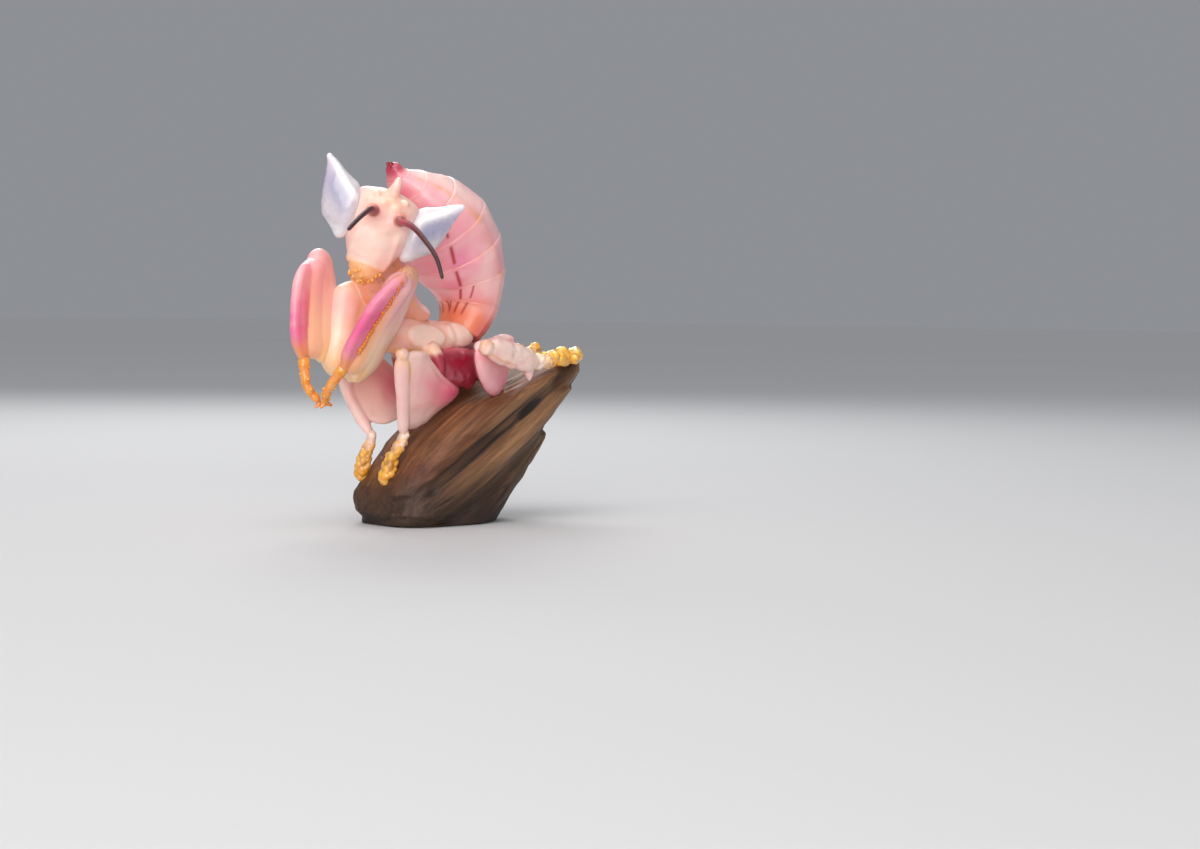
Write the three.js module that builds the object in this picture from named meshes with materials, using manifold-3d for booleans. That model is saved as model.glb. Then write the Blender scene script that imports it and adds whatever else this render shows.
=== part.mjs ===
// A small moulded orchid mantis figurine standing on its driftwood-shaped base.
// Millimetres. +Z is up, the mantis faces -X, its own left side faces -Y, and the
// origin is on the flat underside of the base.

import * as THREE from 'three';
import { mergeVertices } from 'three/addons/utils/BufferGeometryUtils.js';
import Module from 'manifold-3d';

const wasm = await Module();
wasm.setup();

// ---- Driving dimensions -------------------------------------------------------------

const GAP = 0.3;                 // clear space between neighbouring pieces
const MID_Y = 0.9;               // the mantis stands a little to its right of the origin

// Head: a frame of its own, with +X to the mantis's left, -Y forward and +Z up
const HEAD_AT = [-20.5, -10.5, 54];
const HEAD_TURN = -34.5;         // degrees, the head looks over the mantis's left side
const HEAD_NOD = 8.8;
const HEAD_ROLL = 20;
const EYE_TIP = [12.3, 1.1, 6.1];
const SOCKET = [2.4, -3.5, 0.5];
const SOCKET_RADIUS = 1.1;
const ANTENNA_RADIUS = 0.5;
const HORN_TOP = 7.3;

// Joints of the legs. One entry for each side: left, then right. `blade` is the way a
// foreleg's flat faces run, and `shank` how far its tibia stands off the femur's middle
const SIDES = ['left', 'right'];
const FORE = [
  {
    shoulder: [-12.4, -5.6, 43], socket: [-18.6, 1.6, 25.4], girth: 1,
    elbow: [-18.6, -0.2, 25.4], apex: [-15.9, -12.4, 45.6], wrist: [-23.8, -3.4, 27.6],
    blade: [-0.86, -0.5, 0], shank: [3, 1.6],
  },
  {
    shoulder: [-14, 6, 43], socket: [-18.4, 5.8, 26], girth: 1.15,
    elbow: [-20.5, 6.5, 28.5], apex: [-19.6, 8.7, 48.8], wrist: [-26, 5, 29],
    blade: [-0.88, -0.47, 0], shank: [4.1, 2.6],
  },
];
const CLAW_TIP = [-22.9, 3.2, 21.8];
const MID = [
  {
    knee: [-13.6, -7.2, 30.4], ankle: [-8.4, -1.4, 15.9], toe: [-11.7, 0.2, 7.2],
    hip: [-4.4, -1.6, 32.6], root: [-1.8, -3, 25.6], bow: 0,
  },
  {
    knee: [-14, 9, 31], ankle: [-10.2, 5.4, 15.6], toe: [-10.8, 8, 7.4],
    hip: [-4.6, 3.6, 32.8], root: [-2.6, 4.8, 25.8], bow: 2.6,
  },
];
const HIND = [
  {
    knee: [0.4, -13.4, 31.6], ankle: [15.8, -10.2, 28.6], toe: [27, -8.4, 29.9], hip: [7.6, -4, 31.5],
    root: [7.2, -5.4, 25.6], crest: [1.4, 1.6, 2, 2.3], sag: 0,
  },
  {
    knee: [2.4, 13.8, 32.6], ankle: [19.2, 8.4, 28.8], toe: [29.4, 5.2, 30.2], hip: [7, 4.4, 32.4],
    root: [3, 7.8, 26.4], crest: [2.4, 2.6, 2.2, 1.8], sag: 0.9,
  },
];

// ---- Finishes -----------------------------------------------------------------------

const FINISH = {
  blush: { color: 0xf0b4b4, roughness: 0.42 },
  rose: { color: 0xe084a8, roughness: 0.42 },
  peach: { color: 0xf0cdb0, roughness: 0.45 },
  eye: { color: 0xc8cfe2, roughness: 0.25 },
  gold: { color: 0xeaa640, roughness: 0.4 },
  maroon: { color: 0x4a1e24, roughness: 0.4 },
  wood: { color: 0x6f5848, roughness: 0.85 },
};

function finish(slot) {
  const { color, roughness } = FINISH[slot];
  return new THREE.MeshStandardMaterial({ color, roughness, metalness: 0 });
}

// ---- Shape helpers ------------------------------------------------------------------

const vector = (point) => new THREE.Vector3(...point);

function between(a, b, share) {
  return vector(a).lerp(vector(b), share).toArray();
}

function volumeOf(positions, triangles) {
  let volume = 0;
  for (let i = 0; i < triangles.length; i += 3) {
    const [a, b, c] = [0, 1, 2].map((k) => new THREE.Vector3().fromArray(positions, 3 * triangles[i + k]));
    volume += a.dot(b.cross(c)) / 6;
  }
  return volume;
}

// A closed geometry from rings of points. Each end runs to a point at its ring's middle
function skin(rings, startPoint, endPoint) {
  const around = rings[0].length;
  const positions = [...rings.flat(), startPoint, endPoint].flatMap((p) => p.toArray());
  const start = rings.length * around;
  const end = start + 1;
  const triangles = [];
  for (let j = 0; j < around; j++) {
    const next = (j + 1) % around;
    for (let i = 0; i + 1 < rings.length; i++) {
      const [a, b] = [i * around + j, i * around + next];
      triangles.push(a, b, b + around, a, b + around, a + around);
    }
    const last = (rings.length - 1) * around;
    triangles.push(start, next, j, end, last + j, last + next);
  }
  if (volumeOf(positions, triangles) < 0) triangles.reverse();
  const geometry = new THREE.BufferGeometry();
  geometry.setAttribute('position', new THREE.Float32BufferAttribute(positions, 3));
  geometry.setIndex(triangles);
  geometry.computeVertexNormals();
  return geometry;
}

// A body swept through stations [x, y, z, half width, half thickness]. The half width
// lies along `wide`, and where `thin` is given every ring keeps to the plane of the two,
// as in a flat petal. `round` gives the share of the length over which each end closes,
// 0 for a flat end. `pinch` sharpens the two edges, and `grow` swells the whole body
function loft(stations, { wide = [0, 1, 0], thin = null, around = 10, rings = 8, round = [0.2, 0.2],
  from = 0, to = 1, pinch = 0, grow = 0 } = {}) {
  const path = new THREE.CatmullRomCurve3(stations.map((s) => new THREE.Vector3(s[0], s[1], s[2])));
  const size = new THREE.CatmullRomCurve3(stations.map((s) => new THREE.Vector3(s[3], s[4], 0)));
  const wideAxis = vector(wide).normalize();
  const closing = (t, length) => (length > 0 && t < length ? Math.sqrt(1 - (1 - t / length) ** 2) : 1);
  const at = (t, reach) => path.getPoint(t).addScaledVector(path.getTangent(t), reach);
  const ends = [at(from, -grow), at(to, grow)];
  const made = [];
  for (let i = 0; i <= rings; i++) {
    const eased = (1 - Math.cos((Math.PI * i) / rings)) / 2;
    const share = round[0] > 0 && round[1] > 0 ? eased : i / rings;
    if ((i === 0 && round[0] > 0) || (i === rings && round[1] > 0)) continue;
    const t = from + (to - from) * share;
    const tangent = path.getTangent(t);
    const upright = wideAxis.clone().addScaledVector(tangent, -wideAxis.dot(tangent)).normalize();
    const across = thin ? wideAxis : upright;
    const through = thin ? vector(thin).normalize() : tangent.clone().cross(across);
    const close = closing(share, round[0]) * closing(1 - share, round[1]);
    const sizes = size.getPoint(t);
    const middle = at(t, grow * (2 * share - 1));
    const ring = [];
    for (let k = 0; k < around; k++) {
      const angle = (2 * Math.PI * k) / around;
      const [c, s] = [Math.cos(angle), Math.sin(angle)];
      const flat = s * Math.abs(s) ** pinch;
      ring.push(middle.clone()
        .addScaledVector(across, c * (sizes.x * close + grow))
        .addScaledVector(through, flat * (sizes.y * close + grow)));
    }
    made.push(ring);
  }
  return skin(made, ends[0], ends[1]);
}

function toSolid(geometry) {
  const bare = geometry.clone();
  bare.deleteAttribute('normal');
  bare.deleteAttribute('uv');
  const merged = mergeVertices(bare);
  const vertProperties = merged.attributes.position.array;
  const triVerts = new Uint32Array(merged.index.array);
  return new wasm.Manifold(new wasm.Mesh({ numProp: 3, vertProperties, triVerts }));
}

function fromSolid(solid) {
  const mesh = solid.getMesh();
  const geometry = new THREE.BufferGeometry();
  geometry.setAttribute('position', new THREE.BufferAttribute(mesh.vertProperties, 3));
  geometry.setIndex(new THREE.BufferAttribute(mesh.triVerts, 1));
  geometry.computeVertexNormals();
  return geometry;
}

const join = (first, ...rest) => fromSolid(rest.reduce((sum, g) => sum.add(toSolid(g)), toSolid(first)));
const cut = (first, ...rest) => fromSolid(rest.reduce((sum, g) => sum.subtract(toSolid(g)), toSolid(first)));

// ---- Assembly -----------------------------------------------------------------------

const mantis = new THREE.Group();

const headFrame = new THREE.Group();
headFrame.position.set(...HEAD_AT);
headFrame.rotation.order = 'ZXY';
headFrame.rotation.set(...[HEAD_NOD, HEAD_ROLL, HEAD_TURN].map(THREE.MathUtils.degToRad));
headFrame.updateMatrix();
mantis.add(headFrame);

function place(name, slot, geometry, parent = mantis) {
  const mesh = new THREE.Mesh(geometry, finish(slot));
  mesh.name = name;
  parent.add(mesh);
  return mesh;
}

// ---- Thorax -------------------------------------------------------------------------

const PRONOTUM = [
  [-2.4, 0.6, 36.9, 3.6, 1],
  [-6.4, 0.6, 37.8, 6, 2.2],
  [-11, 0.6, 40.8, 7.6, 3.5],
  [-12.2, 0.4, 44.6, 7.6, 3.8],
  [-14, -0.2, 48, 6.4, 3],
  [-15.2, -1.6, 51.2, 6, 3],
  [-16, -3.4, 54.2, 4.4, 2.4],
];
const THORAX = [
  [-12.4, MID_Y, 34.6, 3, 2.4],
  [-8, MID_Y, 33.2, 4.2, 3.2],
  [-1, MID_Y, 33, 4.6, 3.3],
  [4.6, MID_Y, 33.4, 4.4, 2.8],
  [7.4, MID_Y, 33.4, 3.2, 1.8],
];

const pronotumShape = (grow = 0) => loft(PRONOTUM, { around: 14, rings: 12, round: [0.1, 0.16], grow });
const thoraxShape = (grow = 0) => loft(THORAX, { around: 12, rings: 9, round: [0.2, 0.12], grow });

// ---- Abdomen: curled up and forward over the back -------------------------------------

const ABDOMEN = [
  [6, 1, 33.6, 4.8, 3.4],
  [8.5, 1, 39, 6.2, 5],
  [7.9, 1, 43.8, 7.9, 6.7],
  [5.4, 0.9, 48.2, 9.1, 8.4],
  [2.3, 0.8, 52.6, 9.2, 8.8],
  [-1.5, 0.7, 56.6, 7.8, 7],
  [-5.2, 0.8, 59.5, 5.5, 4.1],
  [-8, 0.9, 61.4, 2.9, 2.2],
  [-10, 0.9, 63.9, 0.9, 0.8],
];
const ABDOMEN_RINGS = [0, 0.13, 0.27, 0.4, 0.53, 0.66, 0.79, 0.9, 1];
const SEGMENT_GAP = 0.006;        // share of the abdomen's length

const abdomenShape = (from, to, grow = 0) => {
  const last = to === 1;
  const options = { around: 16, rings: last ? 6 : 3, round: [0, last ? 0.9 : 0], pinch: 0.25 };
  return loft(ABDOMEN, { ...options, from, to, grow });
};

// ---- Head ---------------------------------------------------------------------------

const FACE = [
  [0, 0.9, 4.4, 4.6, 2.6],
  [0, 0.8, 2.4, 5.6, 4],
  [0, 0.5, -1.4, 5.9, 4.2],
  [0, 0, -5.4, 5, 3.4],
  [0, -0.5, -8.2, 3.6, 2.7],
  [0, -0.9, -9.8, 2.9, 2.1],
];
// Upright slices of an eye from the face outwards: [out, back, up, half height, half depth]
const EYE = [
  [3.6, 0.8, -1.8, 4.9, 3.4],
  [6, 0.9, -1.4, 5.1, 3.4],
  [8, 1, -0.2, 4.7, 3],
  [10, 1.1, 1.2, 4.4, 2.3],
  [11, 1.1, 2.8, 3.1, 1.5],
  [11.7, 1.1, 4.7, 1.4, 0.8],
  [...EYE_TIP, 0.3, 0.3],
];
const eyeShape = (side, grow = 0) => {
  const stations = EYE.map(([x, ...rest]) => [side * x, ...rest]);
  const upright = { wide: [0, 0, 1], thin: [0, 1, 0] };
  return loft(stations, { ...upright, around: 12, rings: 9, round: [0.2, 0.1], grow });
};
const socketAt = (side) => [side * SOCKET[0], SOCKET[1], SOCKET[2]];
const faceShape = (grow = 0) => loft(FACE, { wide: [1, 0, 0], around: 14, rings: 10, round: [0.16, 0.1], grow });
const hornShape = (grow = 0) => loft([
  [0, -1, 3.4, 1.6, 1.4],
  [0, -1.2, 5.2, 1, 0.9],
  [0, -1.4, HORN_TOP, 0.4, 0.4],
], { wide: [1, 0, 0], around: 8, rings: 5, round: [0, 0.3], grow });
const mouthShape = loft([
  [0, -1.1, -9.7, 2.6, 1.9],
  [0, -1.5, -10.9, 2.1, 1.6],
  [0, -1.7, -12, 1, 0.9],
], { wide: [1, 0, 0], around: 10, rings: 5, round: [0, 0.5] });
const ANTENNA = [
  [[6.4, -11, -0.4], [10.7, -18.1, -4.8]],
  [[-4.2, -11.4, 0.4], [-6.7, -20, -2.6]],
];

const eyes = [eyeShape(1, GAP), eyeShape(-1, GAP)];
const socketBall = (side) => {
  const ball = new THREE.SphereGeometry(SOCKET_RADIUS, 8, 6);
  return ball.translate(...socketAt(side));
};
const head = join(faceShape(), socketBall(1), socketBall(-1));
place('head', 'peach', cut(head, ...eyes, hornShape(GAP)), headFrame);
place('horn', 'peach', hornShape(), headFrame);
place('mouth', 'gold', cut(mouthShape, faceShape(GAP)), headFrame);
SIDES.forEach((name, i) => {
  const side = i === 0 ? 1 : -1;
  place(`eye_${name}`, 'eye', eyeShape(side), headFrame);
  const root = socketAt(side);
  const stem = [...root.slice(0, 1), root[1] - SOCKET_RADIUS - GAP, root[2]];
  const [bend, tip] = ANTENNA[i];
  const thick = [ANTENNA_RADIUS, ANTENNA_RADIUS * 0.9, ANTENNA_RADIUS * 0.6];
  const stations = [stem, bend, tip].map((p, k) => [...p, thick[k], thick[k]]);
  const antenna = loft(stations, { wide: [1, 0, 0], around: 6, rings: 10, round: [0.04, 0.04] });
  place(`antenna_${name}`, 'maroon', antenna, headFrame);
});

const neckShape = loft([
  [-15.4, -3.2, 52.6, 2.6, 2.4],
  [-16.8, -6, 53.4, 2.8, 2.6],
  [-18.4, -9, 54, 2.6, 2.4],
], { wide: [0, 0, 1], around: 10, rings: 5, round: [0.2, 0.2] });
const inWorld = (geometry) => geometry.applyMatrix4(headFrame.matrix);
place('neck', 'blush', cut(neckShape, pronotumShape(GAP), inWorld(faceShape(GAP))));
place('pronotum', 'blush', cut(pronotumShape(), inWorld(faceShape(GAP)), thoraxShape(GAP)));
place('thorax', 'peach', thoraxShape());

ABDOMEN_RINGS.slice(1).forEach((to, i) => {
  const from = ABDOMEN_RINGS[i] + (i > 0 ? SEGMENT_GAP : 0);
  const tip = to === 1;
  const shape = abdomenShape(from, to);
  const name = tip ? 'abdomen_tip' : `abdomen_${i + 1}`;
  place(name, tip ? 'rose' : 'blush', i === 0 ? cut(shape, thoraxShape(GAP)) : shape);
});

// ---- Forelegs: folded in front of the breast -------------------------------------------

const limb = (a, b, sizes, options) => {
  const stations = sizes.map(([wide, thick], i) => [...between(a, b, i / (sizes.length - 1)), wide, thick]);
  return loft(stations, options);
};

SIDES.forEach((name, i) => {
  const { shoulder, socket, girth, elbow, apex, wrist, blade, shank } = FORE[i];
  const side = i === 0 ? -1 : 1;
  const coxaSize = [[2.6, 2], [3.3, 2.4], [2.9, 2.2], [1.8, 1.6]].map((size) => size.map((v) => v * girth));
  const coxa = limb(shoulder, socket, coxaSize, { wide: [1, 0, 0] });
  const femurSize = [[2.4, 1.6], [4, 2], [4.4, 2], [4, 1.8], [2.2, 1.4]];
  const femur = (grow = 0) => limb(elbow, apex, femurSize, { wide: blade, rings: 9, grow });
  const aside = (point, reach) => point.map((v, k) => v + blade[k] * reach);
  const tibiaPath = [
    [...aside(apex, shank[0]).map((v, k) => v - [0, 0, 1.6][k]), 1.7, 0.9],
    [...aside(between(apex, wrist, 0.36), shank[0]), 3, 1.1],
    [...aside(between(apex, wrist, 0.7), shank[1]), 3.2, 1.1],
    [...wrist, 1, 0.8],
  ];
  const tibia = (grow = 0) => loft(tibiaPath, { wide: blade, around: 8, rings: 7, grow });
  const claw = [CLAW_TIP[0], CLAW_TIP[1] + side * 0.75, CLAW_TIP[2]];
  const bend = between(wrist, claw, 0.55).map((v, k) => v - [1, 0, 0.4][k]);
  const tarsusPath = [[...wrist, 0.8, 0.8], [...bend, 0.8, 0.8], [...claw, 0.5, 0.5]];
  const tarsus = loft(tarsusPath, { wide: [1, 0, 0], around: 8, rings: 7, round: [0.1, 0.2] });
  place(`foreleg_${name}_coxa`, 'peach', cut(coxa, femur(GAP), pronotumShape(GAP), thoraxShape(GAP)));
  place(`foreleg_${name}_femur`, 'blush', femur());
  place(`foreleg_${name}_tibia`, 'rose', cut(tibia(), femur(GAP)));
  place(`foreleg_${name}_tarsus`, 'gold', cut(tarsus, tibia(GAP), femur(GAP)));
});

// ---- Middle legs: petal-lobed femurs, feet on the front edge of the base ---------------

const feet = [];

function foot(ankle, toe, lift) {
  const middle = between(ankle, toe, 0.5);
  const stations = [[...ankle, 1.1, 1.1], [middle[0] + lift[0], middle[1], middle[2] + lift[1], 1.2, 1.2], [...toe, 1, 1]];
  const shape = (grow = 0) => loft(stations, { wide: [0, 1, 0], around: 8, rings: 7, round: [0.12, 0.2], grow });
  feet.push(shape(GAP));
  return shape;
}

SIDES.forEach((name, i) => {
  const { knee, ankle, toe, hip, root, bow } = MID[i];
  const side = i === 0 ? -1 : 1;
  // Levels of the petal below the knee: [drop, front edge, rear edge, half thickness]
  const levels = [
    [-0.6, 2.4, 5, 0.8],
    [1.6, 1.8, 8.4, 1.1],
    [4.2, 1.7, 12.4, 1.3],
    [6.4, 1.9, 16.6, 1.4],
    [8.6, 2.3, 15, 1.3],
    [11, 3.2, 12.4, 1.1],
    [13.6, 5, 9, 0.9],
  ];
  const height = knee[2] - ankle[2];
  const lean = (ankle[1] - knee[1]) / height;
  const outward = (drop) => side * bow * Math.sin(Math.PI * THREE.MathUtils.clamp(drop / height, 0, 1));
  const petal = levels.map(([drop, front, rear, thick]) => {
    const middle = (front + rear) / 2;
    const y = knee[1] + lean * drop - side * (0.4 + 0.16 * (middle - 4)) + outward(drop);
    return [knee[0] + middle, y, knee[2] - drop, (rear - front) / 2, thick];
  });
  const flat = { wide: [1, -side * 0.16, 0], thin: [0, 1, 0] };
  const femur = (grow = 0) => loft(petal, { ...flat, around: 12, rings: 12, round: [0.08, 0.1], grow });
  const shin = [1.1, 1.1, 1, 0.9, 1].map((radius, k) => {
    const [x, y, z] = between(knee, ankle, k / 4);
    return [x, y + outward(knee[2] - z), z, radius, radius];
  });
  const tibia = (grow = 0) => loft(shin, { wide: [1, 0, 0], around: 8, rings: 7, grow });
  const coxa = limb(hip, root, [[2.4, 1.6], [3.2, 1.8], [1.8, 1.4]]);
  const tarsus = foot(ankle, toe, [-0.6, 0]);
  place(`midleg_${name}_coxa`, 'peach', cut(coxa, thoraxShape(GAP), femur(GAP)));
  place(`midleg_${name}_femur`, 'blush', femur());
  place(`midleg_${name}_tibia`, 'peach', cut(tibia(), femur(GAP)));
  place(`midleg_${name}_tarsus`, 'gold', cut(tarsus(), tibia(GAP)));
});

// ---- Hind legs: thrown wide, feet on the raised end of the base ------------------------

SIDES.forEach((name, i) => {
  const { knee, ankle, toe, hip, root, crest, sag } = HIND[i];
  const side = i === 0 ? -1 : 1;
  // The lobed femur from front to rear: [back from the knee, inward, bottom, top, half thickness]
  const lobe = [
    [-1, 1.8, -2, 0.8, 0.9],
    [2, 3.4, -5, crest[0], 1.2],
    [5.4, 5.4, -7.8 - sag, crest[1], 1.4],
    [8.2, 7, -8.6 - sag, crest[2], 1.4],
    [10.4, 8, -6.4, crest[3], 1.3],
    [11.9, 8.2, -1.4, crest[3], 1.1],
    [13.2, 8, 0.2, 1.8, 0.8],
  ].map(([back, inward, low, high, thick]) => [
    knee[0] + back, knee[1] - side * inward, knee[2] + (low + high) / 2, (high - low) / 2, thick,
  ]);
  const flat = { wide: [0, 0, 1], thin: [side * 0.4, 1, 0] };
  const femur = (grow = 0) => loft(lobe, { ...flat, around: 12, rings: 12, round: [0.08, 0.1], grow });
  const tibiaSize = [[1.3, 1], [1.9, 1.1], [1.9, 1.1], [2, 1], [1.2, 1]];
  const tibia = (grow = 0) => limb(knee, ankle, tibiaSize, { wide: [0, 0, 1], around: 8, rings: 8, grow });
  const spur = loft([
    [...between(knee, ankle, 0.86), 1, 0.7],
    [ankle[0] - 1.8, ankle[1] - side * 0.4, ankle[2] - 3.2, 0.4, 0.35],
  ], { wide: [1, 0, 0], around: 6, rings: 4, round: [0.1, 0.3] });
  const coxa = limb(hip, root, [[1.8, 1.8], [2.2, 2], [2.2, 2]]);
  const tarsus = foot(ankle, toe, [0, 0.3]);
  place(`hindleg_${name}_coxa`, 'peach', cut(coxa, thoraxShape(GAP), femur(GAP)));
  place(`hindleg_${name}_femur`, 'blush', femur());
  place(`hindleg_${name}_tibia`, 'peach', cut(join(tibia(), spur), femur(GAP)));
  place(`hindleg_${name}_tarsus`, 'gold', cut(tarsus(), tibia(GAP)));
});

// ---- Base: a leaning length of driftwood, flat underneath ------------------------------

// Levels of the wood: [height, front x, rear x, left y, right y]
const BASE_LEVELS = [
  [0, -12, 13.2, -8.2, 9.2],
  [2, -13.2, 14.6, -9, 10.2],
  [5.6, -13, 17.2, -9.4, 10.2],
  [8.2, -11.2, 19.3, -9.5, 10],
  [11.2, -8.8, 21.8, -9.6, 9.8],
  [14, -6.6, 24.3, -9.6, 9.6],
  [15.2, -5.2, 25, -9.6, 9.5],
  [16.2, -4, 24.4, -9.7, 9.3],
  [18.6, -0.6, 26, -9.7, 9],
  [21, 3.2, 27.6, -9.7, 8.6],
  [23, 8.2, 28.8, -9.6, 8],
  [23.8, 10.6, 29.2, -9.6, 7.8],
  [24.6, 13, 28.7, -9.5, 7.6],
  [27, 19.2, 31, -8.8, 6.2],
  [28.6, 23.2, 31.4, -7.8, 4.2],
  [30, 26.8, 30.8, -6.6, 1.2],
  [31, 28.4, 30, -5.4, -1.4],
];
const LEVEL_STEP = 2.3;
const BASE_AROUND = 32;
// How full each corner of a level is: 1 for a quarter ellipse, less for a squarer corner
const CORNERS = { rearRight: 0.66, frontRight: 0.45, frontLeft: 0.6, rearLeft: 1 };
const GRAIN_SLOPE = THREE.MathUtils.degToRad(32);
const GRAIN_FADE = 4;
// Ribs and grooves along the wood on either side: [distance across the grain, half width, height]
const GRAIN = {
  left: [[14, 2, 0.4], [10, 2.2, -0.8], [6.3, 2, 0.5], [2.4, 2.2, -0.6], [-1.6, 2.2, 0.4]],
  right: [[10.4, 2, 0.4], [7.2, 2, -0.7], [4.2, 2, 0.5], [0.4, 2.4, -0.4]],
};

function grain(x, y, z) {
  const across = z * Math.cos(GRAIN_SLOPE) - x * Math.sin(GRAIN_SLOPE);
  const rows = y < 0 ? GRAIN.left : GRAIN.right;
  const share = Math.min(1, Math.abs(y) / GRAIN_FADE);
  const rise = ([at, width, height]) => height * Math.max(0, 1 - ((across - at) / width) ** 2) ** 2;
  return share * rows.reduce((sum, row) => sum + rise(row), 0);
}

// A level halfway up every tall step keeps the ribs in shape
const levels = BASE_LEVELS.flatMap((level, i) => {
  const below = BASE_LEVELS[i - 1];
  if (i === 0 || level[0] - below[0] < LEVEL_STEP) return [level];
  return [level.map((v, k) => (v + below[k]) / 2), level];
});

function baseShape() {
  const rings = levels.map(([z, front, rear, left, right]) => {
    const centre = [(front + rear) / 2, (left + right) / 2];
    const half = [(rear - front) / 2, (right - left) / 2];
    const ring = [];
    for (let k = 0; k < BASE_AROUND; k++) {
      const angle = (2 * Math.PI * k) / BASE_AROUND;
      const [c, s] = [Math.cos(angle), Math.sin(angle)];
      const corner = CORNERS[(c > 0 ? 'rear' : 'front') + (s > 0 ? 'Right' : 'Left')];
      const x = centre[0] + half[0] * Math.sign(c) * Math.abs(c) ** corner;
      const y = centre[1] + half[1] * Math.sign(s) * Math.abs(s) ** corner;
      const push = z === 0 ? 0 : grain(x, y, z);
      ring.push(new THREE.Vector3(x + push * c, y + push * s, z));
    }
    return ring;
  });
  const [low, high] = [BASE_LEVELS[0], BASE_LEVELS.at(-1)];
  const middle = ([z, front, rear, left, right]) => new THREE.Vector3((front + rear) / 2, (left + right) / 2, z);
  return skin(rings, middle(low), middle(high));
}

place('base', 'wood', cut(baseShape(), ...feet));

export default mantis;
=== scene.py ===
# The dressed orchid mantis figurine. Lengths in this script are millimetres until a mesh is made.
# The mantis faces -X, its left is -Y and up is +Z.
import math
import bpy
import numpy as np
from mathutils import Euler, Matrix, Vector
from mathutils.kdtree import KDTree


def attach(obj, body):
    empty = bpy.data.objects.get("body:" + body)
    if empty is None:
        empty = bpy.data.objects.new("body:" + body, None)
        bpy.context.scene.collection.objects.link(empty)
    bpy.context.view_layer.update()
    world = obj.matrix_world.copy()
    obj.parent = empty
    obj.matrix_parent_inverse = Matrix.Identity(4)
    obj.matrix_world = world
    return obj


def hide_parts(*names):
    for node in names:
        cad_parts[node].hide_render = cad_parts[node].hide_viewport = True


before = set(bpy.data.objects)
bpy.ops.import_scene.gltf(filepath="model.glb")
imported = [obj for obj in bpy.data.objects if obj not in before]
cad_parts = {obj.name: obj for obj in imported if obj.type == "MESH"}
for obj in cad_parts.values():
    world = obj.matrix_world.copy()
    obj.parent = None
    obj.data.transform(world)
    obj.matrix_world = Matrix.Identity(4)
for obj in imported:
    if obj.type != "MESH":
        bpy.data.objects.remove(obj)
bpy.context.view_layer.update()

MM = 0.001
SIDES = (("left", -1), ("right", 1))
rad = math.radians
X, Y, Z = np.identity(3)
scene = bpy.context.scene


def add_object(name, data):
    obj = bpy.data.objects.new(name, data)
    scene.collection.objects.link(obj)
    return obj


def towards(azimuth, elevation):
    """The way from the figurine to an eye or a lamp."""
    level = math.cos(elevation)
    return Vector((math.sin(azimuth) * level, -math.cos(azimuth) * level, math.sin(elevation)))


# ---- Camera ----

VIEW_AZIMUTH, VIEW_ELEVATION, VIEW_ROLL = rad(-40), rad(5.45), rad(0.3)
VIEW_DISTANCE = 0.4
LENS, SENSOR = 66.1, 36
CLIP_START, CLIP_END = 0.02, 20
FRAME_WIDTH = 1200               # pixels, and the origin's place from the frame's middle
ORIGIN_RIGHT, ORIGIN_DOWN = -165, 97.7


def add_camera():
    data = bpy.data.cameras.new("camera")
    data.lens, data.sensor_width = LENS, SENSOR
    data.clip_start, data.clip_end = CLIP_START, CLIP_END
    cam = add_object("camera", data)
    back = towards(VIEW_AZIMUTH, VIEW_ELEVATION)
    right = Vector((math.cos(VIEW_AZIMUTH), math.sin(VIEW_AZIMUTH), 0))
    up = back.cross(right)
    focal = LENS / SENSOR * FRAME_WIDTH
    ahead = (-back * focal - right * ORIGIN_RIGHT + up * ORIGIN_DOWN).normalized()
    side = ahead.cross(up).normalized()
    turn = Matrix((side, side.cross(ahead), -ahead)).transposed()
    cam.rotation_euler = (turn @ Matrix.Rotation(VIEW_ROLL, 3, "Z")).to_euler()
    cam.location = back * VIEW_DISTANCE
    scene.camera = cam


add_camera()

# ---- Numbers on surfaces ----


def clamp(x):
    return np.clip(x, 0, 1)


def ramp(x, start, end):
    """0 before start, 1 after end, smooth between. start may be the larger."""
    x = clamp((x - start) / (end - start))
    return x * x * (3 - 2 * x)


def near(x, middle, width):
    """1 at the middle, falling to 0 over about the width."""
    return np.exp(-(((x - middle) / width) ** 2))


def lattice(cell, seed):
    h = cell[..., 0] * 374761393 + cell[..., 1] * 668265263 + cell[..., 2] * 974634777 + seed * 69069
    h = ((h ^ (h >> 13)) * 1274126177) & 0xFFFFFFFF
    return ((h ^ (h >> 16)) & 0xFFFF) / 32767.5 - 1


def noise(p, size, seed):
    """Smooth noise from -1 to 1 over points p, with features of about that size (one, or three)."""
    q = np.asarray(p) / np.asarray(size) + 100
    cell = np.floor(q).astype(np.int64)
    f = q - cell
    f = f * f * (3 - 2 * f)
    total = 0
    for corner in np.ndindex(2, 2, 2):
        weight = np.prod([f[..., k] if corner[k] else 1 - f[..., k] for k in range(3)], axis=0)
        total = total + weight * lattice(cell + np.array(corner), seed)
    return total


def rough(p, size, seed):
    """Noise with finer noise on it."""
    return noise(p, size, seed) * 0.65 + noise(p, np.asarray(size) / 2.3, seed + 5) * 0.35


def blotch(p, middle, spread, size, seed):
    """An amount from 0 to 1 that wanders about the middle."""
    return clamp(middle + spread * rough(p, size, seed))


def axes(p):
    return p[..., 0], p[..., 1], p[..., 2]


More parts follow.
